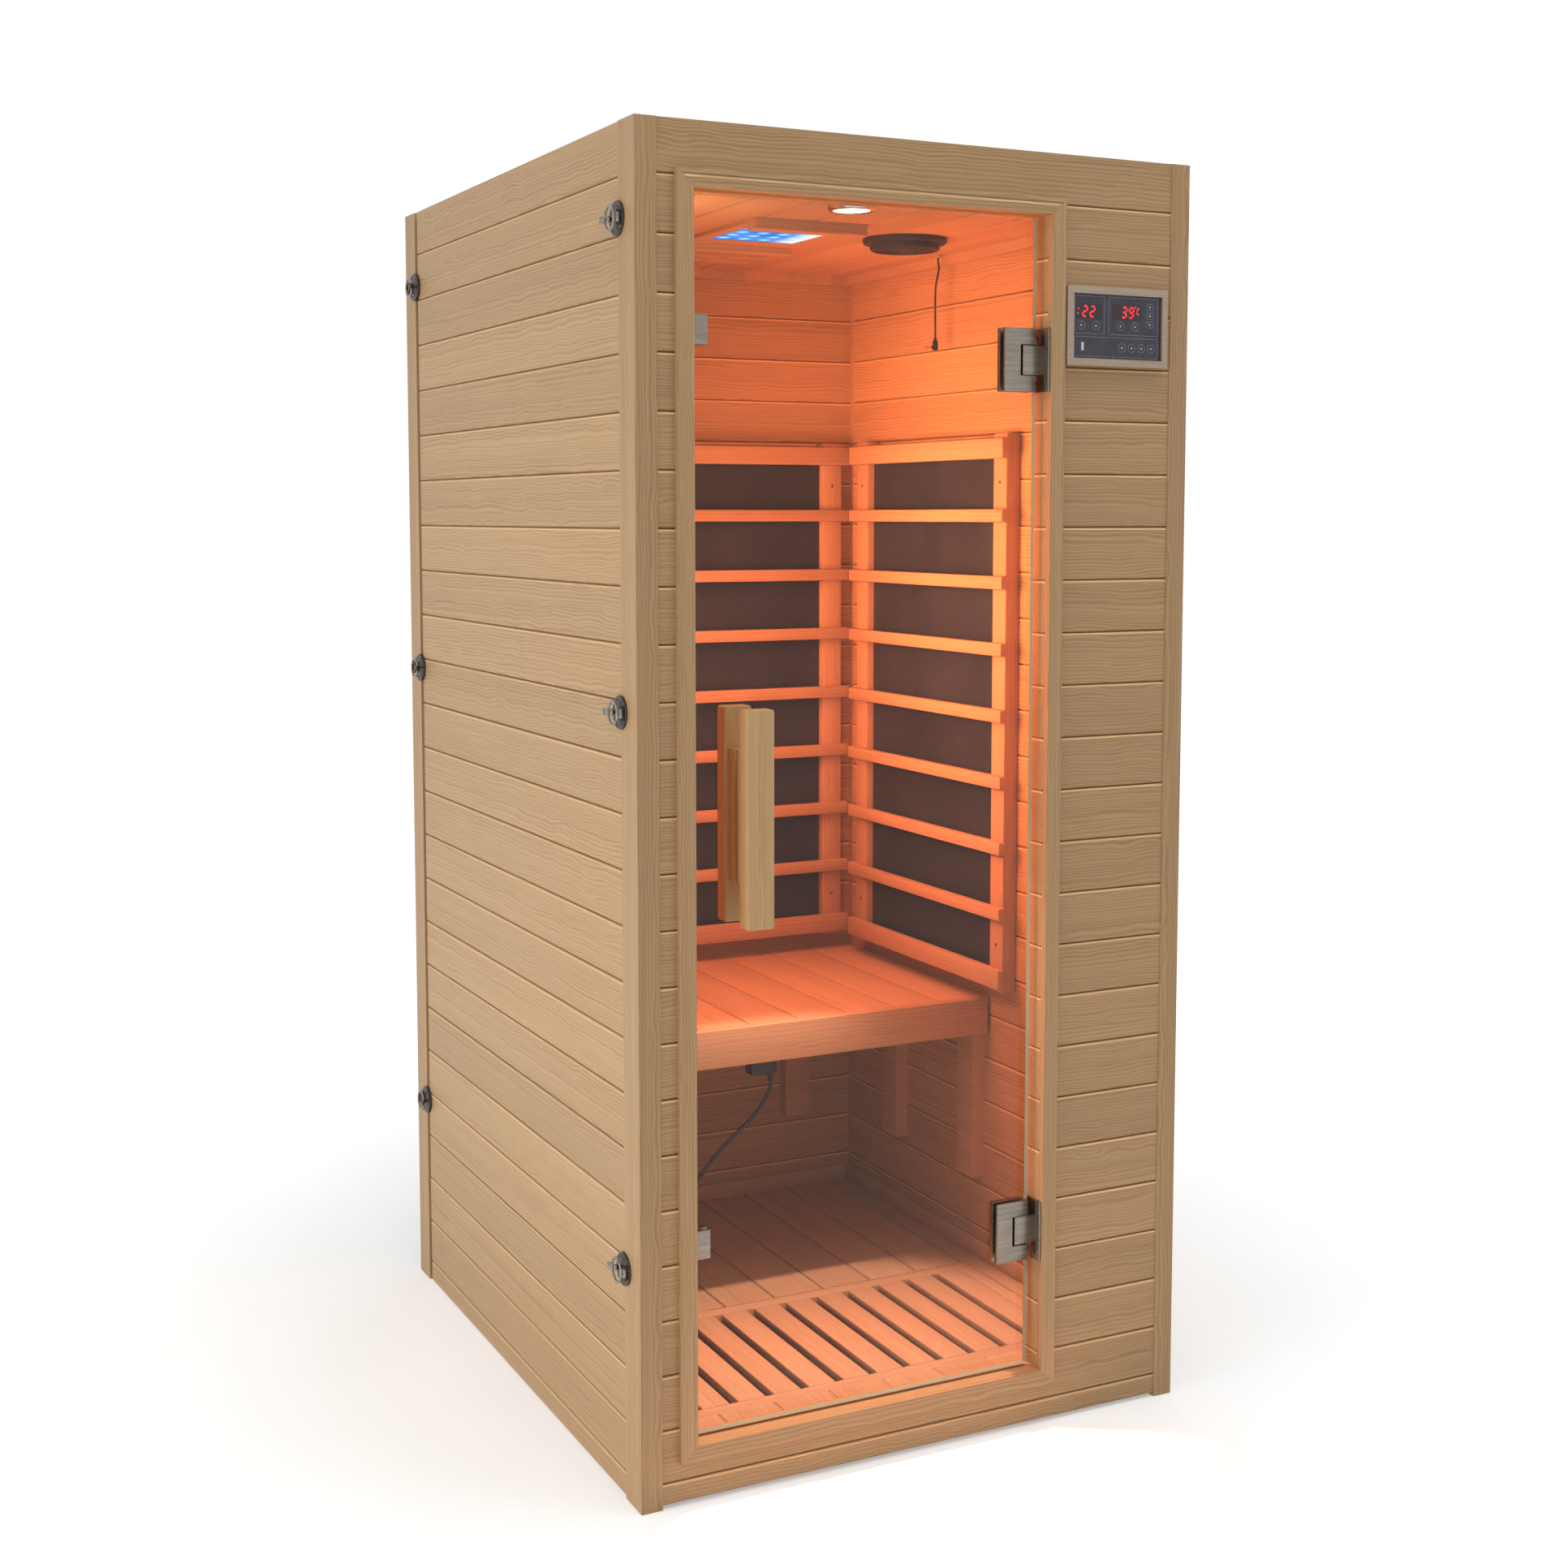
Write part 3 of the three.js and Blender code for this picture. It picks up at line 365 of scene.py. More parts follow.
pewterLook = tones((0.045, 0.040, 0.036), (0.14, 0.127, 0.113), 320.0, 0.4, bump=0.12)
grainLook = {"stretch": 0.014, "swayScale": 14.0, "sway": 0.006, "jump": (3.0, 3.0, 3.0), "lowBoard": 0.07,
             "lipHighlightAt": 1.9, "broadScale": 30.0, "broad": 0.28, "streakScale": 230.0, "streak": 0.36,
             "ringTurn": 6.283 / 0.0052, "wander": 40.0, "ringLevel": 0.18, "rings": 0.07,
             "stops": (0.26, 0.5, 0.74), "rough": 0.5}


# timber: streaks and rings along the grain, one tone per board, painted shade as a dark line in each groove, and on
# the walls a painted highlight along each groove's lower lip
def timber(name, look):
    look = {**grainLook, **look}
    material, net = shader(name)
    place = objectPlace(net)
    axes = split(net, place)
    cross = [axis for axis in "xyz" if axis != look["grain"]]
    across = axes[look["across"]]
    if "lowShift" in look:
        low = calc(net, "LESS_THAN", across, look["lowBoard"])
        across = calc(net, "SUBTRACT", across, calc(net, "MULTIPLY", low, look["lowShift"]))
    turn = calc(net, "DIVIDE", calc(net, "SUBTRACT", across, look["start"]), look["pitch"])
    boardNumber = calc(net, "FLOOR", turn)
    tone, chance = put(net, "TexWhiteNoise", {"W": boardNumber}, noise_dimensions="1D")

    sway = noise(net, place, look["swayScale"], 1.0, 0.5)
    sway = ranged(net, sway, 0.0, 1.0, -look["sway"], look["sway"])
    bend = put(net, "CombineXYZ", {0: sway, 1: sway, 2: sway})[0]
    bend = scaled(net, bend, [1.0 if axis in cross else 0.0 for axis in "xyz"])
    vector = scaled(net, place, [1.0 if axis in cross else look["stretch"] for axis in "xyz"])
    vector = shifted(net, shifted(net, vector, bend), scaled(net, chance, look["jump"]))
    ringed = calc(net, "ADD", *[axes[axis] for axis in cross])

    # painted shade: a dark line centred on each groove or gap between boards
    away = calc(net, "SUBTRACT", calc(net, "FRACT", calc(net, "ADD", turn, 0.5)), 0.5)
    away = calc(net, "MULTIPLY", away, look["pitch"])
    width = look["line"]
    line = ranged(net, size(net, away), width * 0.4, width, look["paintedGrooveShade"], 1.0)
    # painted highlight: a lighter band along the lower lip of each groove, as if lit from above
    if "lip" in look:
        lip = size(net, calc(net, "ADD", away, width * look["lipHighlightAt"]))
        lip = ranged(net, lip, width * 0.6, width * 1.2, look["lip"], 1.0)
        line = calc(net, "MULTIPLY", line, lip)
    # the painted groove shade is left off flat tops behind a given depth
    if "flat" in look:
        level = size(net, split(net, objectNormal(net))["z"])
        level = calc(net, "GREATER_THAN", level, look["flat"])
        behind = calc(net, "GREATER_THAN", axes["y"], look.get("behind", -1.0))
        line = choose(net, calc(net, "MULTIPLY", level, behind), 1.0, line)
    if "postFrom" in look:
        post = calc(net, "GREATER_THAN", size(net, axes["x"]), look["postFrom"])
        upright = scaled(net, place, (1.0, 1.0, look["stretch"]))
        vector = put(net, "Mix", {0: post, 4: vector, 5: upright}, data_type="VECTOR")[1]
        ringed = choose(net, post, ringed, calc(net, "ADD", axes["x"], axes["y"]))
        tone = choose(net, post, tone, 0.0)
        line = choose(net, post, line, 1.0)

    broad = noise(net, vector, look["broadScale"], 2.0, 0.5)
    streak = noise(net, vector, look["streakScale"], 3.0, 0.65)
    phase = calc(net, "MULTIPLY", calc(net, "ADD", ringed, sway), look["ringTurn"])
    phase = calc(net, "ADD", phase, calc(net, "MULTIPLY", broad, look["wander"]))
    least, most = look["ringLevel"] - look["rings"], look["ringLevel"] + look["rings"]
    rings = ranged(net, calc(net, "SINE", phase), -1.0, 1.0, least, most)
    mixed = calc(net, "MULTIPLY", streak, look["streak"])
    mixed = calc(net, "ADD", mixed, calc(net, "MULTIPLY", broad, look["broad"]))
    mixed = calc(net, "ADD", mixed, rings)
    colour = ramp(net, mixed, list(zip(look["stops"], (look["dark"], look["mid"], look["light"]))))
    shade = ranged(net, tone, 0.0, 1.0, 1.0 - look["vary"], 1.0 + look["vary"])
    shade = calc(net, "MULTIPLY", shade, line)
    grey = put(net, "CombineColor", {0: shade, 1: shade, 2: shade})[0]
    surface = principled(net, {
        "Base Color": blendColour(net, 1.0, colour, grey, "MULTIPLY"), "Roughness": look["rough"],
        "Specular IOR Level": 0.35, "Normal": bump(net, mixed, 0.12, 0.0006)})
    if "metalFrom" in look:
        metalWhere = calc(net, "GREATER_THAN", size(net, axes["x"]), look["metalFrom"])
        cast = noise(net, place, pewterLook["scale"], 3.0, 0.6)
        tint = twoTone(net, cast, pewterLook, 0.35, 0.68)
        dull = principled(net, {"Base Color": tint, "Metallic": 1.0, "Roughness": 0.42})
        surface = layered(net, metalWhere, surface, dull)
    return close(material, surface)


def metal(name, look):
    material, net = shader(name)
    vector = scaled(net, objectPlace(net), look.get("stretch", (1.0, 1.0, 1.0)))
    scratch = noise(net, vector, look["scale"], 4.0, 0.65)
    rough = ranged(net, scratch, 0.3, 0.7, look["rough"] - 0.07, look["rough"] + 0.1)
    return close(material, principled(net, {
        "Base Color": twoTone(net, scratch, look, 0.32, 0.7), "Metallic": look.get("metallic", 1.0),
        "Roughness": rough, "Normal": bump(net, scratch, look.get("bump", 0.05), 0.0003)}))


def plastic(name, look):
    material, net = shader(name)
    speck = noise(net, objectPlace(net), look["scale"], 3.0, 0.6)
    rough = ranged(net, speck, 0.3, 0.7, look["rough"] - 0.05, look["rough"] + 0.05)
    return close(material, principled(net, {
        "Base Color": twoTone(net, speck, look), "Roughness": rough,
        "Normal": bump(net, speck, look.get("bump", 0.04), 0.0003)}))


def glow(name, look):
    material, net = shader(name)
    drift = noise(net, objectPlace(net), look["scale"], 2.0, 0.5)
    return close(material, emitted(net, twoTone(net, drift, look), look["strength"]))


# clear glass with a green tint where the cut edge shows; shadows pass through it
def clearGlass(name, look):
    material, net = shader(name)
    smear = noise(net, objectPlace(net), 3.0, 2.0, 0.5)
    rough = ranged(net, smear, 0.3, 0.7, 0.01, 0.03)
    clear = put(net, "BsdfTransparent", {"Color": look["tint"]})[0]
    shine = put(net, "BsdfGlossy", {"Color": look["shine"], "Roughness": rough})[0]
    rim = put(net, "Fresnel", {"IOR": look["ior"]})[0]
    shadow = put(net, "LightPath", {})["Is Shadow Ray"]
    share = calc(net, "SUBTRACT", look["share"], calc(net, "MULTIPLY", shadow, look["share"]))
    pane = layered(net, calc(net, "MULTIPLY", rim, share), clear, shine)
    facing = size(net, split(net, objectNormal(net))["y"])
    green = principled(net, {"Base Color": look["edge"], "Roughness": 0.15})
    return close(material, layered(net, calc(net, "LESS_THAN", facing, 0.5), pane, green))


# light panel: a blue field with a grid of small bright lamps, pale at one side
def lampField(name, look):
    material, net = shader(name)
    place = objectPlace(net)
    axes = split(net, place)
    gaps = []
    for axis, start in zip("xy", look["start"]):
        step = calc(net, "DIVIDE", calc(net, "SUBTRACT", axes[axis], start), look["pitch"])
        gap = calc(net, "SUBTRACT", calc(net, "FRACT", step), 0.5)
        gaps.append(calc(net, "POWER", size(net, gap), 2.0))
    away = calc(net, "SQRT", calc(net, "ADD", *gaps))
    spot = ranged(net, away, *look["spotFade"], 1.0, 0.0)
    field = twoTone(net, noise(net, place, 30.0, 2.0, 0.5), look)
    colour = blendColour(net, spot, field, (*look["spot"], 1))
    paleShare = ranged(net, axes["x"], *look["paleFade"], 0.0, 1.0)
    colour = blendColour(net, paleShare, colour, (*look["pale"], 1))
    return close(material, emitted(net, colour, look["strength"]))


# heater film: a smooth dark sheet with faint clouding
def carbonSheet(name, look):
    material, net = shader(name)
    cloud = noise(net, objectPlace(net), 9.0, 3.0, 0.6)
    rough = ranged(net, cloud, 0.3, 0.7, 0.46, 0.56)
    return close(material, principled(net, {"Base Color": twoTone(net, cloud, look, 0.3, 0.7), "Roughness": rough}))


pale = {"dark": (0.36, 0.21, 0.098), "mid": (0.505, 0.315, 0.155), "light": (0.58, 0.375, 0.195), "vary": 0.06,
        "rings": 0.11}
warm = {"dark": (0.40, 0.225, 0.12), "mid": (0.53, 0.325, 0.18), "light": (0.60, 0.385, 0.225), "vary": 0.06}
honey = {"dark": (0.45, 0.265, 0.115), "mid": (0.61, 0.38, 0.175), "light": (0.70, 0.45, 0.22), "vary": 0.06}
# wall boards: painted shade in each groove and a painted highlight on its lower lip
wallLines = {"across": "z", "start": 0.112, "pitch": 0.078, "line": 0.0015, "paintedGrooveShade": 0.5, "lip": 1.55,
             "lowShift": 0.002, "metalFrom": 0.4504}
# floor and roof boards: painted shade in the groove between each pair of boards
deckLines = {"across": "x", "start": 0.0, "pitch": 0.092, "line": 0.0026, "paintedGrooveShade": 0.5, "flat": 0.5}
# bench: fainter painted shade in the gaps between planks
seatLines = {**deckLines, "start": -0.411, "pitch": 0.822 / 9, "paintedGrooveShade": 0.9}
plain = {"across": "x", "start": -5.0, "pitch": 10.0, "line": 0.0001, "paintedGrooveShade": 1.0}

sideTimber = timber("sideTimber", {**pale, **wallLines, "grain": "y"})
# front and back: a stronger painted highlight on each groove's lower lip
endTimber = timber("endTimber", {**pale, **wallLines, "grain": "x", "lip": 1.9, "postFrom": 0.4179})
casingTimber = timber("casingTimber", {**pale, **plain, "grain": "z"})
handleTimber = timber("handleTimber", {**honey, **plain, "grain": "z", "rough": 0.42})
deckTimber = timber("deckTimber", {**warm, **deckLines, "grain": "y", "behind": -0.39})
roofTimber = timber("roofTimber", {**warm, **deckLines, "grain": "y"})
seatTimber = timber("seatTimber", {**warm, **seatLines, "grain": "y"})
railTimber = timber("railTimber", {**warm, **plain, "grain": "x"})
sideRailTimber = timber("sideRailTimber", {**warm, **plain, "grain": "y"})
postTimber = timber("postTimber", {**warm, **plain, "grain": "z"})

nickel = metal("nickel", tones((0.21, 0.185, 0.155), (0.32, 0.285, 0.24), 240.0, 0.34, stretch=(0.06, 1.0, 1.0)))
darkNickel = metal("darkNickel", tones((0.10, 0.095, 0.085), (0.22, 0.21, 0.19), 240.0, 0.4))
pewter = metal("pewter", pewterLook)
brightPewter = metal("brightPewter", tones((0.16, 0.14, 0.12), (0.42, 0.39, 0.35), 260.0, 0.32, bump=0.1))
champagne = metal("champagne", tones(
    (0.37, 0.285, 0.205), (0.46, 0.355, 0.262), 300.0, 0.36, metallic=0.3, stretch=(0.08, 1.0, 1.0)))
chrome = metal("chrome", tones((0.55, 0.54, 0.52), (0.75, 0.74, 0.72), 60.0, 0.16))

slate = plastic("slate", tones((0.028, 0.028, 0.040), (0.040, 0.040, 0.056), 40.0, 0.26))
display = plastic("display", tones((0.018, 0.014, 0.018), (0.026, 0.018, 0.024), 60.0, 0.16))
lavender = plastic("lavender", tones((0.20, 0.20, 0.28), (0.28, 0.27, 0.36), 90.0, 0.3))
blackRubber = plastic("blackRubber", tones((0.012, 0.011, 0.011), (0.028, 0.026, 0.025), 180.0, 0.5))
speakerBlack = plastic("speakerBlack", tones((0.024, 0.024, 0.026), (0.045, 0.044, 0.046), 420.0, 0.55, bump=0.25))
dimGlow = plastic("dimGlow", tones((0.06, 0.012, 0.018), (0.09, 0.018, 0.024), 90.0, 0.3))
whiteMark = plastic("whiteMark", tones((0.62, 0.62, 0.66), (0.74, 0.74, 0.78), 90.0, 0.3))

carbon = carbonSheet("carbon", {"dark": (0.024, 0.027, 0.038), "light": (0.036, 0.040, 0.055)})
glass = clearGlass("glass", {
    "tint": (0.95, 0.975, 0.96, 1), "shine": (0.9, 0.95, 0.93, 1), "edge": (0.30, 0.42, 0.36, 1), "ior": 1.45,
    "share": 0.3})
redGlow = glow("redGlow", {"dark": (1.0, 0.02, 0.04), "light": (1.0, 0.05, 0.06), "scale": 80.0, "strength": 2.2})
lampGlow = glow("lampGlow", {"dark": (1.0, 0.80, 0.58), "light": (1.0, 0.90, 0.74), "scale": 40.0, "strength": 5.0})
blueGlow = lampField("blueGlow", {
    "start": (-0.081, -0.098), "pitch": 0.0365, "dark": (0.06, 0.20, 0.80), "light": (0.12, 0.32, 0.95),
    "spot": (0.40, 0.92, 1.0), "spotFade": (0.10, 0.36), "pale": (0.92, 0.94, 1.0), "paleFade": (0.025, 0.060),
    "strength": 1.1})
print("materials made")


# leads: each follows a smooth line through its route
def smoothRoute(points, steps):
    ends = [points[0], *points, points[-1]]
    path = []
    for a, b, c, d in zip(ends, ends[1:], ends[2:], ends[3:]):
        for i in range(steps):
            t = i / steps
            path.append([
                0.5 * (2 * q + (r - p) * t + (2 * p - 5 * q + 4 * r - s) * t * t + (3 * q - p - 3 * r + s) * t ** 3)
                for p, q, r, s in zip(a, b, c, d)])
    path.append(list(points[-1]))
    return path


def lead(name, look, material, node):
    path = smoothRoute(look["route"], look["steps"])
    curve = bpy.data.curves.new(name, "CURVE")
    curve.dimensions = "3D"
    curve.bevel_depth = look["radius"]
    curve.bevel_resolution = 4
    curve.use_fill_caps = True
    spline = curve.splines.new("POLY")
    spline.points.add(len(path) - 1)
    for point, place in zip(spline.points, path):
        point.co = (*place, 1)
    spline.use_smooth = True
    piece = bpy.data.objects.new(name, curve)
    scene.collection.objects.link(piece)
    fit(piece, "black_plastic", material, node)


audioLead = {
    "route": [(0.388, 0.105, 1.8297), (0.388, 0.105, 1.822), (0.391, 0.107, 1.813), (0.387, 0.103, 1.802),
              (0.382, 0.103, 1.776), (0.382, 0.104, 1.740), (0.383, 0.105, 1.705), (0.383, 0.105, 1.6903)],
    "steps": 5, "radius": 0.0016, "farEnd": "plug", "stiffness": "limp", "lay": "hanging",
}
heaterLead = {
    "route": [(-0.280, 0.030, 0.0723), (-0.280, 0.030, 0.0846), (-0.268, 0.028, 0.1003), (-0.230, 0.025, 0.1371),
              (-0.180, 0.021, 0.1949), (-0.098, 0.014, 0.2966), (-0.057, 0.011, 0.3351), (-0.017, 0.009, 0.3701),
              (0.005, 0.008, 0.3999), (0.010, 0.008, 0.4139), (0.010, 0.008, 0.4227)],
    "steps": 4, "radius": 0.0034, "farEnd": "object", "stiffness": "medium", "lay": "loose",
}

# audio plug: an angled body with a grip ring; the profile is measured down from its top
audioPlug = {
    "place": (0.383, 0.105, 1.690), "radius": 0.005, "length": 0.022, "collar": (0.0027, 0.003),
    "pinRadius": 0.00175, "pinFrom": 0.002, "pinTo": 0.0136,
    "profile": [(0, 0), (0.0022, 0), (0.0024, -0.003), (0.0036, -0.0045), (0.005, -0.0075), (0.005, -0.0095),
                (0.0045, -0.010), (0.0045, -0.011), (0.005, -0.0115), (0.005, -0.021), (0.004, -0.022), (0, -0.022)],
}


def makeAudioPlug(look):
    x, y, top = look["place"]
    side = x - look["radius"]
    height = top - look["length"] + look["radius"]
    body = turned("audioPlugBody", look["profile"], look["place"], 24)
    collar = disc("audioCollar", (side - 0.0005, y, height), *look["collar"], "x", 0.0003, 20)
    shell = joined("audioPlugBody", [body, collar])
    start, tip = side - look["pinFrom"], side - look["pinTo"]
    pin = disc("audioPin", ((start + tip) / 2, y, height), look["pinRadius"], start - tip, "x", 0.0006, 20)
    return shell, pin


plugBody, plugPin = makeAudioPlug(audioPlug)
fit(plugBody, "black_plastic", blackRubber, "aux_plug")
fit(plugPin, "brushed_nickel", chrome)

# power plug: a block with a ribbed neck for its lead
powerPlug = {
    "edge": 0.003, "height": 0.028, "sunk": 0.001, "tail": [(0.0048, 0.0005), (0.0035, 0), (0, 0)],
    "neck": [(0, 0.001), (0.006, 0.001), (0.006, -0.0035), (0.0045, -0.0045), (0.0055, -0.006), (0.0055, -0.008),
             (0.0042, -0.009)],
}


def makePowerPlug(look):
    low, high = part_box("heater_plug")
    floor = high[2] - look["height"]
    shell = board("plugShell", (low[0], low[1], floor), high, look["edge"], 3)
    neckTop = floor + look["sunk"]
    end = low[2] - neckTop
    profile = look["neck"] + [(radius, end + up) for radius, up in look["tail"]]
    neck = turned("plugNeck", profile, (*heaterLead["route"][-1][:2], neckTop), 24)
    return joined("powerPlug", [shell, neck])


powerPlugPiece = makePowerPlug(powerPlug)
fit(powerPlugPiece, "black_plastic", blackRubber, "heater_plug")

lead("audioLead", audioLead, blackRubber, "aux_lead")
lead("heaterLead", heaterLead, blackRubber, "heater_lead")
print("leads made")

# walls, floor, roof and small fittings keep their solids and take materials
dress(sideTimber, "left_wall", "right_wall")
dress(endTimber, "front_left_panel", "front_right_panel", "back_wall", "front_header", "front_sill")
dress(casingTimber, "casing_left", "casing_right")
dress(deckTimber, "floor_base")
dress(roofTimber, "roof_panel")
dress(glass, "door_glass")
dress(carbon, "back_heater_element", "left_heater_element", "right_heater_element", "floor_heater_element")
dress(slate, "control_face")
dress(blueGlow, "light_panel")
dress(railTimber, "light_frame", "vent_slider", "bench_support_back")
dress(sideRailTimber, "bench_support_left", "bench_support_right")
dress(blackRubber, "heater_socket", "floor_lead_gland", "upper_magnet_catch", "lower_magnet_catch")

# a cross-head screw, modelled once facing +z
screwLook = {"radius": 0.004, "height": 0.0012, "slot": 0.0009, "slots": (20, 110), "spin": 0.7}


def makeScrew(look):
    r, h = look["radius"], look["height"]
    profile = [(0, h), (r * 0.45, h * 0.96), (r * 0.8, h * 0.7), (r, h * 0.2), (r, 0), (0, 0)]
    head = turned("screw", profile, (0, 0, 0), 24)
    for angle in look["slots"]:
        cut(head, (0, 0, h), (r * 1.2, look["slot"], h * 1.2), radians(angle))
    smooth(head)
    return head


screw = makeScrew(screwLook)
facing = {
    "-y": Matrix.Rotation(math.pi / 2, 4, "X"), "y": Matrix.Rotation(-math.pi / 2, 4, "X"),
    "-x": Matrix.Rotation(-math.pi / 2, 4, "Y"),
}


def screws(name, way, places, size):
    made = []
    for i, place in enumerate(places):
        turn = facing[way] @ Matrix.Rotation(screwLook["spin"] * i, 4, "Z")
        made.append(copyOf(screw, name, Matrix.Translation(Vector(place)) @ turn @ Matrix.Scale(size, 4)))
    return joined(name, made)


# door hinges: a notched clamp on the glass, a jamb plate with its knuckle
hingeLook = {
    "plate": 0.006, "notch": 0.044, "notchDepth": 0.027, "edge": 0.0012, "axisX": 0.182, "axisY": -0.503,
    "pastAxis": 0.006, "core": 0.035, "coreIn": 0.004, "pin": 0.0035, "jamb": 0.004, "knuckle": (0.017, 0.009),
    "sunk": 0.0004, "clampScrew": (0.013, 0.016, 0.95), "jambScrew": (0.011, 0.013, 0.9),
}


def makeClamp(level, look):
    low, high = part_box(level + "_hinge_clamp")
    centreZ = middle(low, high)[2]
    right = look["axisX"] + look["pastAxis"]
    inner = right - look["notchDepth"]
    half = look["notch"] / 2
    outline = [(low[0], low[2]), (right, low[2]), (right, centreZ - half), (inner, centreZ - half),
               (inner, centreZ + half), (right, centreZ + half), (right, high[2]), (low[0], high[2])]
    parts = [slab("clampFront", outline, low[1], low[1] + look["plate"], look["edge"]),
             slab("clampBack", outline, high[1] - look["plate"], high[1], look["edge"])]
    for way in (-1, 1):
        foot, top = sorted([centreZ + way * half, centreZ + way * look["core"]])
        parts.append(board("clampCore", (inner - 0.003, low[1] + look["coreIn"], foot),
                           (right, high[1] - look["coreIn"], top), 0.0004, 1))
    pin = (look["axisX"], look["axisY"], centreZ)
    parts.append(disc("clampPin", pin, look["pin"], look["notch"] + 0.002, "z", 0.0002, 24))
    fit(joined(level + "Clamp", parts), "brushed_nickel", nickel, level + "_hinge_clamp", body="door")
    inX, inZ, scale = look["clampScrew"]
    spots = [(low[0] + inX, high[1] - look["sunk"], z) for z in (low[2] + inZ, high[2] - inZ)]
    rear = screws(level + "ClampRearScrews", "y", spots, scale)
    fit(rear, "brushed_nickel", darkNickel, body="door")


def makeJambPlate(level, look):
    low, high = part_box(level + "_hinge_jamb_plate")
    centreZ = middle(low, high)[2]
    tall = look["notch"] / 2 - 0.0005
    face = high[0] - look["jamb"]
    plate = board("jambPlate", (face, low[1], low[2]), high, look["edge"])
    reach, half = look["knuckle"]
    knuckle = board("jambKnuckle", (look["axisX"] - reach, look["axisY"] - half, centreZ - tall),
                    (high[0] - look["jamb"] / 2, look["axisY"] + half, centreZ + tall), look["edge"])
    piece = joined(level + "JambPlate", [plate, knuckle])
    fit(piece, "brushed_nickel", nickel, level + "_hinge_jamb_plate")
    inY, inZ, scale = look["jambScrew"]
    spots = [(face + look["sunk"], y, z)
             for y in (low[1] + inY, high[1] - inY) for z in (low[2] + inZ, high[2] - inZ)]
    heads = screws(level + "JambScrews", "-x", spots, scale)
    fit(heads, "brushed_nickel", darkNickel)


# strike plates on the closing edge
strikeLook = {"plate": 0.004, "edge": 0.001, "lip": 0.0017, "lipEdge": 0.0004}


def makeStrike(level, look):
    low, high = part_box(level + "_strike_plate")
    leaves = [
        board("strikeFront", low, (high[0], low[1] + look["plate"], high[2]), look["edge"]),
        board("strikeBack", (low[0], high[1] - look["plate"], low[2]), high, look["edge"]),
        board("strikeEdge", low, (low[0] + look["lip"], high[1], high[2]), look["lipEdge"], 1),
    ]
    fit(joined(level + "Strike", leaves), "brushed_nickel", nickel, level + "_strike_plate", body="door")


for level in ("lower", "upper"):
    makeClamp(level, hingeLook)
    makeJambPlate(level, hingeLook)
for level in ("lower", "upper"):
    makeStrike(level, strikeLook)
print("door metal made")

# handles: a soft-cornered bar on a lug, the same on both sides of the glass
handleLook = {"width": 0.042, "length": 0.304, "corner": 0.004, "thick": 0.025, "edge": 0.0022, "lugWidth": 0.030,
              "lugLength": 0.187, "lugIn": 0.003, "lugEdge": 0.002, "glassFront": -0.507, "glassBack": -0.499}


def makeHandle(node, outside, look):
    low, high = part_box(node)
    x, _, z = middle(low, high)
    outline = [(x + a, z + b) for a, b in softCorners(look["width"], look["length"], look["corner"])]
    glassFace = look["glassFront"] if outside else look["glassBack"]
    barFace = low[1] if outside else high[1]
    way = 1 if outside else -1
    bar = slab("gripBar", outline, *sorted([barFace, barFace + way * look["thick"]]), look["edge"], 3)
    near, far = sorted([barFace + way * (look["thick"] - look["lugIn"]), glassFace])
    wide, tall = look["lugWidth"] / 2, look["lugLength"] / 2
    lug = board("gripLug", (x - wide, near, z - tall), (x + wide, far, z + tall), look["lugEdge"])
    return joined(node, [bar, lug])


for node, outside in (("handle_outer", True), ("handle_inner", False)):
    fit(makeHandle(node, outside, handleLook), "hemlock", handleTimber, node, body="door")
print("handles made")

# control panel: eased frame, dark overlay with printed boxes, keys and lit digits
bezelLook = {"corner": 0.004, "edge": 0.0022, "window": (0.158, 0.04, 0.094)}
low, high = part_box("control_bezel")
panelX, panelY, panelZ = middle(low, high)
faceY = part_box("control_face")[0][1]


def panelOutline(x, z, width, height, corner, steps):
    return [(panelX + x + a, panelZ + z + b) for a, b in softCorners(width, height, corner, steps)]


def makeBezel(look):
    outline = panelOutline(0, 0, high[0] - low[0], high[2] - low[2], look["corner"], 6)
    plate = slab("bezel", outline, low[1], high[1], look["edge"], 3)
    cut(plate, (panelX, panelY, panelZ), look["window"])
    smooth(plate)
    return plate


fit(makeBezel(bezelLook), "champagne", champagne, "control_bezel")
panel = {
    "boxes": [(-0.0495, 0.0165, 0.053, 0.055), (0.029, 0.0165, 0.089, 0.055), (-0.0015, -0.0295, 0.150, 0.029)],
    "screens": [(-0.0495, 0.0220, 0.046, 0.022), (0.0185, 0.0225, 0.054, 0.022)], "screenCorner": 0.002,
    "roundKeys": [(-0.064, 0.001), (-0.038, 0.001), (0.006, 0.002), (0.032, 0.002),
                  (0.009, -0.0295), (0.0265, -0.0295), (0.044, -0.0295), (0.0615, -0.0295)],
    "squareKeys": [(0.059, 0.0320), (0.059, 0.0190), (0.059, 0.0060)], "squareKey": (0.0115, 0.0095),
    "ring": 0.0062, "ringWire": 0.0004, "dot": 0.0013, "bar": (-0.0635, -0.0590, -0.0355, -0.0235),
    "line": 0.0007, "proud": 0.0003, "edge": 0.0001, "print": 0.0001, "film": 0.0002,
}
screens = [slab("screen", panelOutline(*spot, panel["screenCorner"], 3), faceY - panel["film"], faceY, 0.00005, 1)
           for spot in panel["screens"]]
fit(joined("screens", screens), "slate", display)


# a printed strip from one corner to the other, in the panel's own x and z
def strip(name, left, right, foot, top, front, back=0.0):
    return board(name, (panelX + left, faceY - front, panelZ + foot), (panelX + right, faceY - back, panelZ + top),
                 panel["edge"], 1)


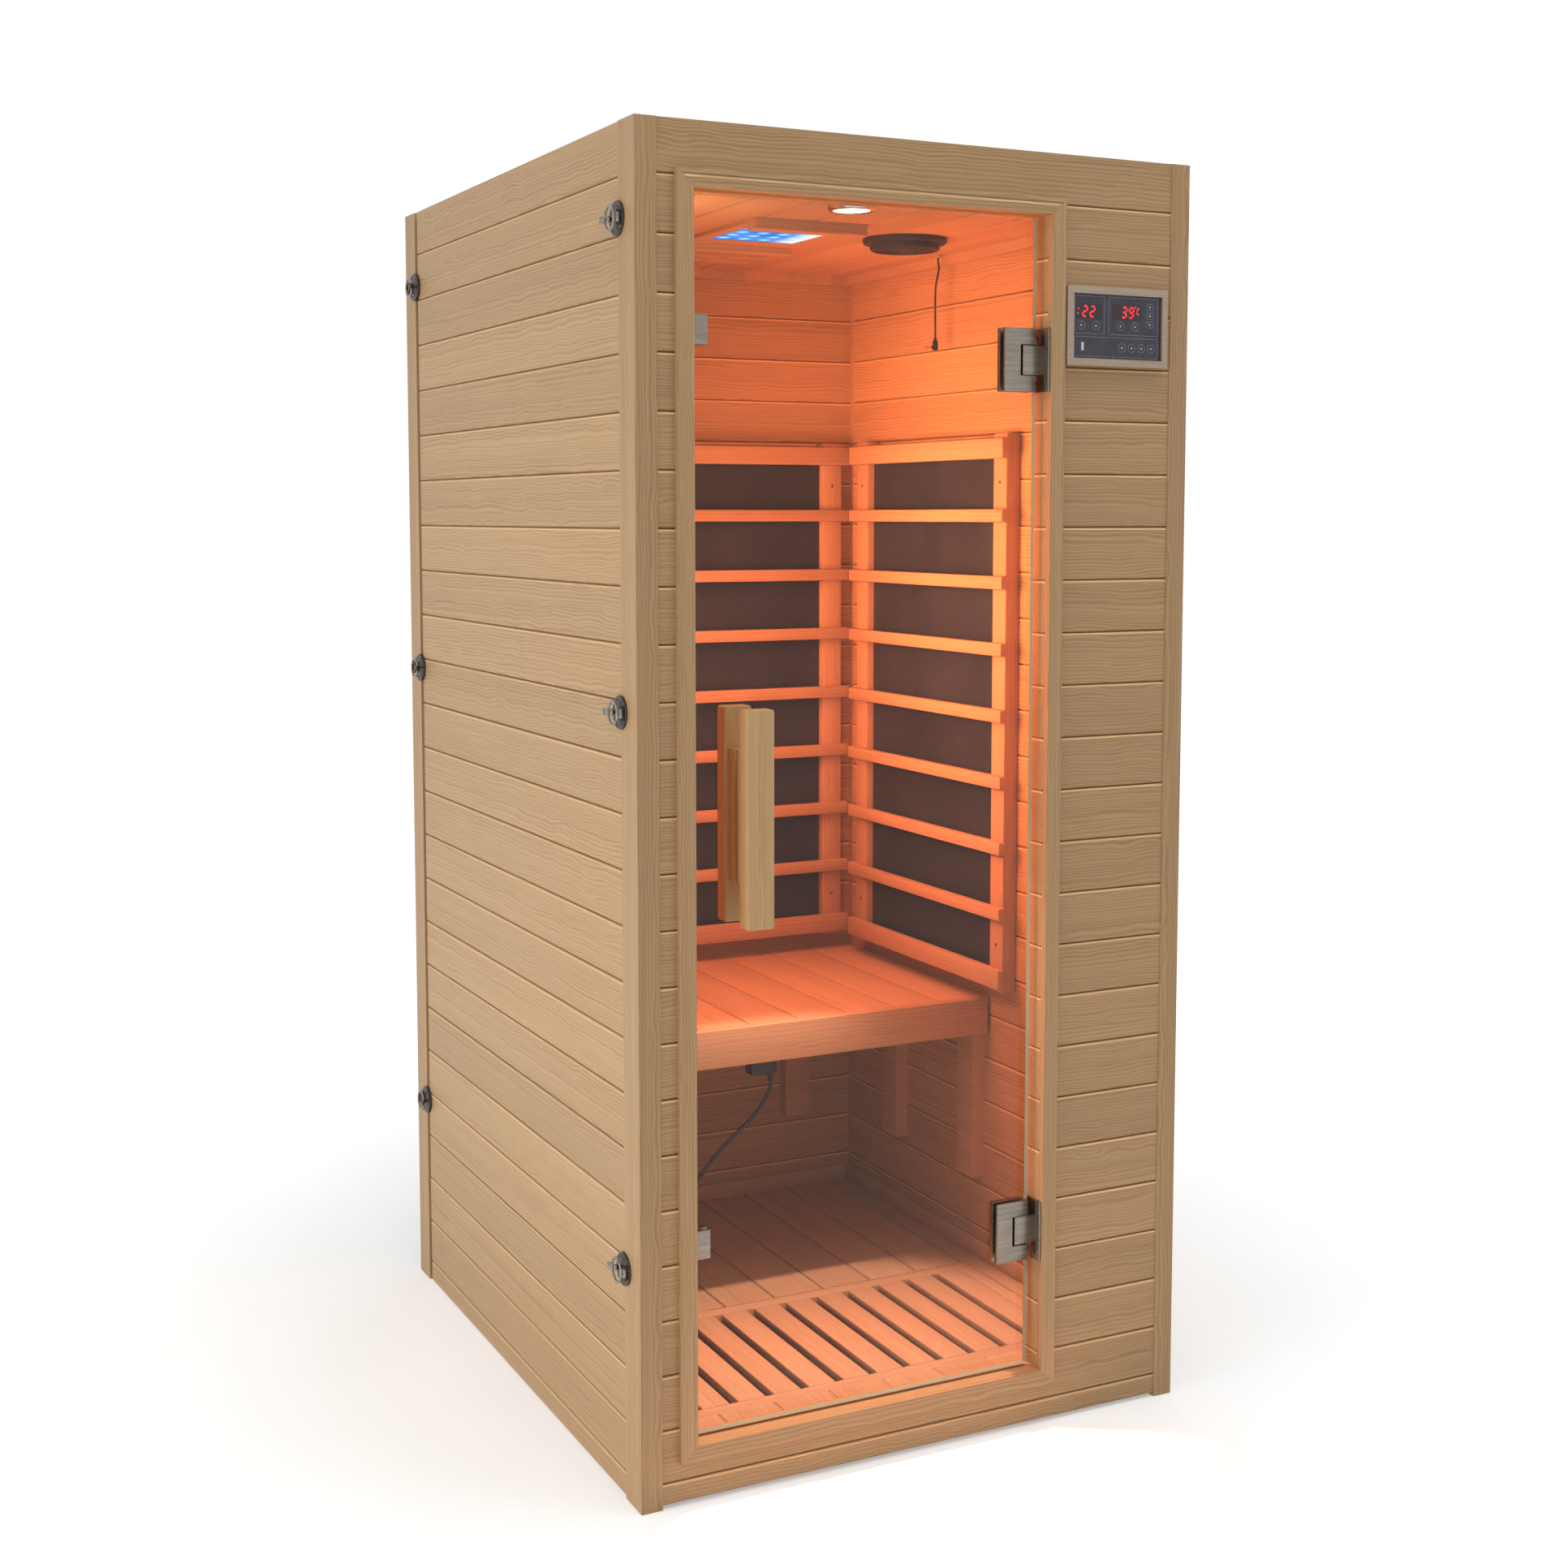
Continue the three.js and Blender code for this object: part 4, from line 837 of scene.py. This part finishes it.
def frameStrips(x, z, w, h):
    t = panel["line"]
    left, right, foot, top = x - w / 2, x + w / 2, z - h / 2, z + h / 2
    spans = [(left, right, top - t, top), (left, right, foot, foot + t),
             (left, left + t, foot, top), (right - t, right, foot, top)]
    return [strip("printed", *span, panel["proud"]) for span in spans]


def dot(name, x, z, radius, depth, proud):
    return disc(name, (panelX + x, faceY - proud, panelZ + z), radius, depth, "y", panel["edge"], 12)


marks = []
for spot in panel["boxes"]:
    marks.extend(frameStrips(*spot))
for x, z in panel["roundKeys"]:
    centre = (panelX + x, faceY - panel["print"], panelZ + z)
    marks.append(hoop(centre, panel["ring"], panel["ringWire"], "y", 28, 6))
for x, z in panel["squareKeys"]:
    marks.extend(frameStrips(x, z, *panel["squareKey"]))
fit(joined("printedLines", marks), "slate", lavender)

keyDots = [dot("keyDot", x, z, panel["dot"], 0.0004, panel["print"])
           for x, z in panel["roundKeys"] + panel["squareKeys"]]
keyDots.append(strip("barMark", *panel["bar"], panel["proud"]))
fit(joined("keyMarks", keyDots), "slate", whiteMark)

# seven-segment digits: each letter names a lit bar by its place and whether it lies flat
segments = {"a": (0, 1, True), "b": (1, 0.5, False), "c": (1, -0.5, False), "d": (0, -1, True),
            "e": (-1, -0.5, False), "f": (-1, 0.5, False), "g": (0, 0, True)}
shapes = {"2": "abged", "3": "abgcd", "9": "abcdfg", "C": "adef", "8": "abcdefg"}
digitLook = {
    "wide": 0.48, "thick": 0.17, "slant": 0.06, "front": 0.0005, "back": 0.0002, "dot": (0.0012, 0.0003, 0.0003),
    "lit": [("2", -0.0575, 0.0215, 0.0148), ("2", -0.0445, 0.0215, 0.0148), ("3", 0.0125, 0.0225, 0.0148),
            ("9", 0.0250, 0.0225, 0.0148), ("C", 0.0375, 0.0245, 0.0085)],
    "dots": [(-0.0695, 0.0250), (-0.0700, 0.0180), (0.0325, 0.0305)], "ghost": ("8", 0.0000, 0.0225, 0.0148),
}


def digit(name, shape, x, z, h, look):
    w, t = h * look["wide"], h * look["thick"]
    made = []
    for letter in shapes[shape]:
        sx, sz, flat = segments[letter]
        cx, cz = x + sx * w / 2 + look["slant"] * sz * h, z + sz * h / 2
        wide, tall = ((w - t) / 2, t / 2) if flat else (t / 2, (h / 2 - t) / 2)
        made.append(strip(name, cx - wide, cx + wide, cz - tall, cz + tall, look["front"], look["back"]))
    return made


lit = [bar for spot in digitLook["lit"] for bar in digit("lit", *spot, digitLook)]
lit += [dot("lit", x, z, *digitLook["dot"]) for x, z in digitLook["dots"]]
fit(joined("litDigits", lit), "slate", redGlow)
ghost = digit("ghost", *digitLook["ghost"], digitLook)
fit(joined("ghostDigits", ghost), "slate", dimGlow)
print("control panel made")

# bench: nine planks and an apron
benchLook = {"planks": 9, "gap": 0.0014, "edge": 0.002}
low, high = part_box("bench_seat")
width = (high[0] - low[0]) / benchLook["planks"]
planks = []
for i in range(benchLook["planks"]):
    left, right = low[0] + i * width + benchLook["gap"] / 2, low[0] + (i + 1) * width - benchLook["gap"] / 2
    planks.append(board("plank", (left, low[1], low[2]), (right, high[1], high[2]), benchLook["edge"]))
fit(joined("benchPlanks", planks), "warm_hemlock", seatTimber, "bench_seat")
low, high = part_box("bench_apron")
fit(board("benchApron", low, high, benchLook["edge"]), "warm_hemlock", railTimber, "bench_apron")
print("bench made")

# heater guards: eased slats on two stiles, with a screw near each corner
guardLook = {"slats": 9, "pitch": 0.113, "slat": 0.022, "endSlat": 0.034, "slatThick": 0.014, "sunk": 0.0006,
             "stile": 0.041, "overhang": 0.008, "stileEnd": 0.008, "edge": 0.0022, "screw": 0.8, "screwSunk": 0.0004}


def makeGuard(node, look):
    low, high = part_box(node)
    wide = max(high[0] - low[0], high[1] - low[1])
    deep = min(high[0] - low[0], high[1] - low[1])
    joint = look["slatThick"] - deep
    first = low[2] + look["stileEnd"] + look["endSlat"] / 2
    last = look["slats"] - 1
    slats = []
    for i in range(look["slats"]):
        z = first + i * look["pitch"]
        tall = look["endSlat"] if i in (0, last) else look["slat"]
        slats.append(board("slat", (-wide / 2, -deep, z - tall / 2),
                           (wide / 2, joint + look["sunk"], z + tall / 2), look["edge"]))
    stileX = wide / 2 - look["overhang"] - look["stile"] / 2
    stiles = [board("stile", (x - look["stile"] / 2, joint, low[2]), (x + look["stile"] / 2, 0, high[2]), look["edge"])
              for x in (-stileX, stileX)]
    spots = [(x, joint + look["screwSunk"], first + (i + 0.5) * look["pitch"])
             for i in (0, last - 1) for x in (-stileX, stileX)]
    return joined("slats", slats), joined("stiles", stiles), screws("guardScrews", "-y", spots, look["screw"])


guards = {
    "back_heater_guard": (0, (0.0, 0.4827, 0.0), railTimber),
    "left_heater_guard": (90, (-0.4157, 0.139, 0.0), sideRailTimber),
    "right_heater_guard": (-90, (0.4157, 0.139, 0.0), sideRailTimber),
}
for node, (angle, place, material) in guards.items():
    slats, stiles, heads = makeGuard(node, guardLook)
    move = Matrix.Translation(Vector(place)) @ Matrix.Rotation(radians(angle), 4, "Z")
    for piece in (slats, stiles, heads):
        piece.data.transform(move)
    fit(slats, "warm_hemlock", material, node)
    fit(stiles, "warm_hemlock", postTimber, node)
    fit(heads, "brushed_nickel", darkNickel)
print("heater guards made")

# floor grille: a border with slats from front to back
grilleLook = {"border": 0.026, "slats": 12, "gap": 0.014, "thick": 0.014, "edge": 0.002}


def makeGrille(look):
    low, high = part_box("floor_heater_grille")
    left, right = low[0] + look["border"], high[0] - look["border"]
    front, back = low[1] + look["border"], high[1] - look["border"]
    pitch = (right - left + look["gap"]) / look["slats"]
    slats = [
        board("border", low, (left, high[1], high[2]), look["edge"]),
        board("border", (right, low[1], low[2]), high, look["edge"]),
    ]
    rails = [
        board("border", (left, low[1], low[2]), (right, front, high[2]), look["edge"]),
        board("border", (left, back, low[2]), (right, high[1], high[2]), look["edge"]),
    ]
    for i in range(look["slats"]):
        start = left + i * pitch
        slats.append(board("floorSlat", (start, front, high[2] - look["thick"]),
                           (start + pitch - look["gap"], back, high[2]), look["edge"]))
    return joined("grilleSlats", slats), joined("grilleRails", rails)


grilleSlats, grilleRails = makeGrille(grilleLook)
fit(grilleSlats, "warm_hemlock", sideRailTimber, "floor_heater_grille")
fit(grilleRails, "warm_hemlock", railTimber, "floor_heater_grille")

# skirting along the foot of the inner walls
skirtLook = {"height": 0.030, "thick": 0.008, "edge": 0.003, "insideX": 0.4155, "insideY": 0.4825}
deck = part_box("floor_base")[1][2]
skirtTop = deck + skirtLook["height"]
inX, inY, thick = skirtLook["insideX"], skirtLook["insideY"], skirtLook["thick"]
skirts = [
    board("skirt", (inX - thick, -inY, deck), (inX, inY, skirtTop), skirtLook["edge"]),
    board("skirt", (-inX, -inY, deck), (thick - inX, inY, skirtTop), skirtLook["edge"]),
]
fit(joined("sideSkirts", skirts), "warm_hemlock", sideRailTimber)
backSkirt = board("backSkirt", (thick - inX, inY - thick, deck), (inX - thick, inY, skirtTop), skirtLook["edge"])
fit(backSkirt, "warm_hemlock", railTimber)
print("floor made")

# ceiling lamp: a rim and a lens; both profiles are measured down from the ceiling
lampLook = {
    "rim": [(0.028, -0.007), (0.028, -0.0098), (0.029, -0.011), (0.033, -0.011), (0.0348, -0.0102),
            (0.0357, -0.0088), (0.036, -0.007), (0.036, 0), (0.028, 0), (0.028, -0.007)],
    "lens": [(0, -0.0095), (0.014, -0.0092), (0.0238, -0.0084), (0.0278, -0.0074), (0.0278, -0.001), (0, -0.001)],
}
low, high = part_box("reading_lamp")
ceiling = high[2]
lampPlace = (*middle(low, high)[:2], ceiling)
fit(turned("lampRim", lampLook["rim"], lampPlace), "pewter", chrome, "reading_lamp")
fit(turned("lampLens", lampLook["lens"], lampPlace), "pewter", lampGlow)

# speaker: a flange and a drum with rings in its face
speakerLook = {
    "drum": [(0, 0), (0.070, 0), (0.070, -0.005), (0.069, -0.0075), (0.067, -0.009), (0.059, -0.009),
             (0.058, -0.010), (0.058, -0.016), (0.0568, -0.0186), (0.054, -0.020)],
    "height": 0.020, "rings": 7, "firstRing": 0.051, "ringStep": 0.0055,
    "groove": [(0, 0), (0.0006, 0.0016), (0.0026, 0.0016), (0.0032, 0)],
}


def makeSpeaker(look):
    face = -look["height"]
    profile = list(look["drum"])
    for i in range(look["rings"]):
        outer = look["firstRing"] - i * look["ringStep"]
        profile += [(outer - inward, face + up) for inward, up in look["groove"]]
    profile.append((0, face))
    return turned("speakerDrum", profile, (*middle(*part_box("speaker"))[:2], ceiling), 56)


fit(makeSpeaker(speakerLook), "black_plastic", speakerBlack, "speaker")
print("ceiling made")

# draw latch: a dished base across the joint, ears, rivets, a headed keeper, and a lever with its ring and tab
latchLook = {
    "radius": 0.0234, "plate": 0.0034, "sunk": 0.0018, "edge": 0.0005,
    "dish": [(0.0026, 0), (0.0012, -0.0009), (0.0040, 0.0002), (0.0010, 0.0005)],
    "pivotX": -0.016, "pivotZ": 0.007, "pin": (0.0017, 0.0205), "earY": 0.0085, "ear": (0.0025, 0.0016),
    "earZ": (0.0005, 0.0085), "rivets": (62, 118, 242, 298), "rivetAway": 0.0178, "rivetZ": 0.0022,
    "rivet": [(0, 0.0016), (0.0011, 0.0013), (0.0018, 0.0004), (0.0019, 0), (0, 0)],
    "keeperX": 0.0105,
    "keeper": [(0, 0.0124), (0.0026, 0.0121), (0.0041, 0.0112), (0.0046, 0.0098), (0.0040, 0.0086),
               (0.0028, 0.0078), (0.0026, 0.0040), (0.0040, 0.0028), (0.0040, 0.0), (0, 0.0)],
    "ringX": 0.0015, "ringRadius": 0.0164, "ringWire": 0.0021, "ringZ": 0.0120, "ringSquash": 0.76,
    "barrel": (0.0034, 0.0128), "neckHalf": 0.0058,
    "neck": [(-0.001, 0.0074), (0.0022, 0.0070), (0.0040, 0.0104), (0.0040, 0.0135), (0.0006, 0.0134)],
    "tabHalf": 0.0047,
    "tab": [(-0.0032, 0.0106), (-0.0012, 0.0104), (0.0012, 0.0124), (0.0028, 0.0152), (0.0036, 0.0180),
            (0.0008, 0.0180), (-0.0002, 0.0160), (-0.0018, 0.0140)],
    "wallX": 0.450, "jointY": 0.469, "rows": {"low": 0.332, "mid": 1.110, "high": 1.772},
}


def makeLatchBase(look):
    deselect()
    bpy.ops.mesh.primitive_cylinder_add(vertices=56, radius=look["radius"], depth=look["plate"] + look["sunk"],
                                        location=(0, 0, (look["plate"] - look["sunk"]) / 2))
    base = active()
    settle(base)
    mode("EDIT")
    bpy.ops.mesh.select_all(action="DESELECT")
    mode("OBJECT")
    top = max(base.data.polygons, key=lambda face: face.center[2])
    top.select = True
    mode("EDIT")
    for inward, up in look["dish"]:
        bpy.ops.mesh.inset(thickness=inward, depth=up)
    mode("OBJECT")
    ease(base, look["edge"])
    parts = [base]
    (wide, thick), (foot, head) = look["ear"], look["earZ"]
    for y in (-look["earY"], look["earY"]):
        parts.append(board("ear", (look["pivotX"] - wide, y - thick, foot), (look["pivotX"] + wide, y + thick, head),
                           0.0008))
    parts.append(disc("pin", (look["pivotX"], 0, look["pivotZ"]), *look["pin"], "y", 0.0004, 20))
    for angle in look["rivets"]:
        way = radians(angle)
        spot = (look["rivetAway"] * math.cos(way), look["rivetAway"] * math.sin(way), look["rivetZ"])
        parts.append(turned("rivet", look["rivet"], spot, 16))
    return joined("latchBase", parts)


def makeLever(look):
    ring = hoop((look["ringX"], 0, look["ringZ"]), look["ringRadius"], look["ringWire"], "z", 44, 12,
                look["ringSquash"])
    barrel = disc("barrel", (look["pivotX"], 0, look["pivotZ"]), *look["barrel"], "y", 0.0006, 28)
    half = look["neckHalf"]
    neck = slab("neck", [(look["pivotX"] + x, z) for x, z in look["neck"]], -half, half, 0.0007)
    far = look["ringX"] + look["ringRadius"] + look["ringWire"]
    half = look["tabHalf"]
    tab = slab("tab", [(far + x, z) for x, z in look["tab"]], -half, half, 0.0006)
    return joined("lever", [ring, barrel, neck, tab])


latchBase = makeLatchBase(latchLook)
latchKeeper = turned("keeper", latchLook["keeper"], (latchLook["keeperX"], 0, 0), 28)
latchLever = makeLever(latchLook)
for side, out in (("left", -1), ("right", 1)):
    bases, keepers = [], []
    for end, along in (("front", 1), ("rear", -1)):
        for row, height in latchLook["rows"].items():
            u, w = Vector((0, along, 0)), Vector((out, 0, 0))
            move = Matrix((u, w.cross(u), w)).transposed().to_4x4()
            move.translation = (out * latchLook["wallX"], -along * latchLook["jointY"], height)
            bases.append(copyOf(latchBase, "base", move))
            keepers.append(copyOf(latchKeeper, "keeper", move))
            name = f"latch_{side}_{end}_{row}"
            fit(copyOf(latchLever, name + "Lever", move), "pewter", brightPewter, name, body=name)
    fit(joined(side + "LatchBases", bases), "pewter", pewter)
    fit(joined(side + "LatchKeepers", keepers), "pewter", brightPewter)
for piece in (latchBase, latchKeeper, latchLever, screw):
    drop(piece)
print("latches made")

# studio: a pale floor that keeps the shadow near the cabin, even light from all round
floorLook = {"size": 60, "height": -0.0005, "dark": (0.86, 0.86, 0.86), "light": (0.90, 0.90, 0.90), "lift": 0.34,
             "farLift": 0.64, "near": 0.7, "far": 2.2}


def whiteFloor(name, look):
    material, net = shader(name)
    place = objectPlace(net)
    colour = twoTone(net, noise(net, place, 2.0, 3.0, 0.6), look)
    matt = put(net, "BsdfDiffuse", {"Color": colour})[0]
    reach = put(net, "VectorMath", {0: place}, operation="LENGTH")[1]
    level = ranged(net, reach, look["near"], look["far"], look["lift"], look["farLift"])
    lift = emitted(net, (1, 1, 1, 1), calc(net, "MULTIPLY", seenRays(net), level))
    return close(material, put(net, "AddShader", {0: matt, 1: lift})[0])


deselect()
bpy.ops.mesh.primitive_plane_add(size=floorLook["size"], location=(0, 0, floorLook["height"]))
ground = active()
ground.name = "ground"
ground.data.materials.append(whiteFloor("groundWhite", floorLook))

skyLook = {"air": {"Color": (0.96, 0.98, 1.0, 1), "Strength": 0.5}, "white": {"Color": (1, 1, 1, 1), "Strength": 1.0}}
scene.world = bpy.data.worlds.new("studio")
scene.world.use_nodes = True
sky = scene.world.node_tree
sky.nodes.clear()
air, white = (put(sky, "Background", skyLook[key])[0] for key in ("air", "white"))
put(sky, "OutputWorld", {"Surface": layered(sky, seenRays(sky), air, white)})


# lamps: two soft ones outside, the rest warm ones in the cabin
def lampOf(name, kind, place, power, colour):
    deselect()
    bpy.ops.object.light_add(type=kind, location=place)
    lamp = active()
    lamp.name = name
    lamp.data.energy = power
    lamp.data.color = colour
    lamp.visible_glossy = False
    return lamp


def areaLight(name, place, aim, width, power, colour, spread=180):
    lamp = lampOf(name, "AREA", place, power, colour)
    lamp.data.size = width
    lamp.data.spread = radians(spread)
    lamp.rotation_euler = (Vector(aim) - Vector(place)).to_track_quat("-Z", "Y").to_euler()


def bulb(name, place, radius, power, colour, kind="POINT"):
    lamp = lampOf(name, kind, place, power, colour)
    lamp.data.shadow_soft_size = radius
    return lamp


areaLight("topLight", (0.2, -1.0, 4.4), (-0.1, -0.3, 0.6), 2.6, 60, (1.0, 0.99, 0.97))
areaLight("sideLight", (-3.0, -0.5, 0.25), (-0.45, 0.0, 0.25), 2.0, 50, (1.0, 0.98, 0.93))
areaLight("wallGlow", (-0.34, 0.02, 1.31), (0.41, 0.0, 1.33), 0.44, 7.8, (1.0, 0.30, 0.13), 105)
bulb("cabinLamp", (-0.08, 0.0, 1.46), 0.10, 1.8, (1.0, 0.24, 0.11))
bulb("ceilingGlow", (-0.30, -0.26, 1.66), 0.06, 1.9, (1.0, 0.60, 0.32))
bulb("guardGlow", (-0.02, -0.06, 1.02), 0.12, 6.0, (1.0, 0.23, 0.12))
areaLight("benchGlow", (-0.02, 0.10, 1.44), (-0.02, 0.10, 0.54), 0.44, 3.8, (1.0, 0.28, 0.14), 115)
bulb("footGlow", (0.0, -0.30, 0.40), 0.12, 1.0, (1.0, 0.34, 0.20))
readingSpot = bulb("readingSpot", (-0.034, -0.36, 1.79), 0.03, 110.0, (1.0, 0.63, 0.53), "SPOT")
readingSpot.data.spot_size = radians(35)
readingSpot.data.spot_blend = 0.35
print("lights made")
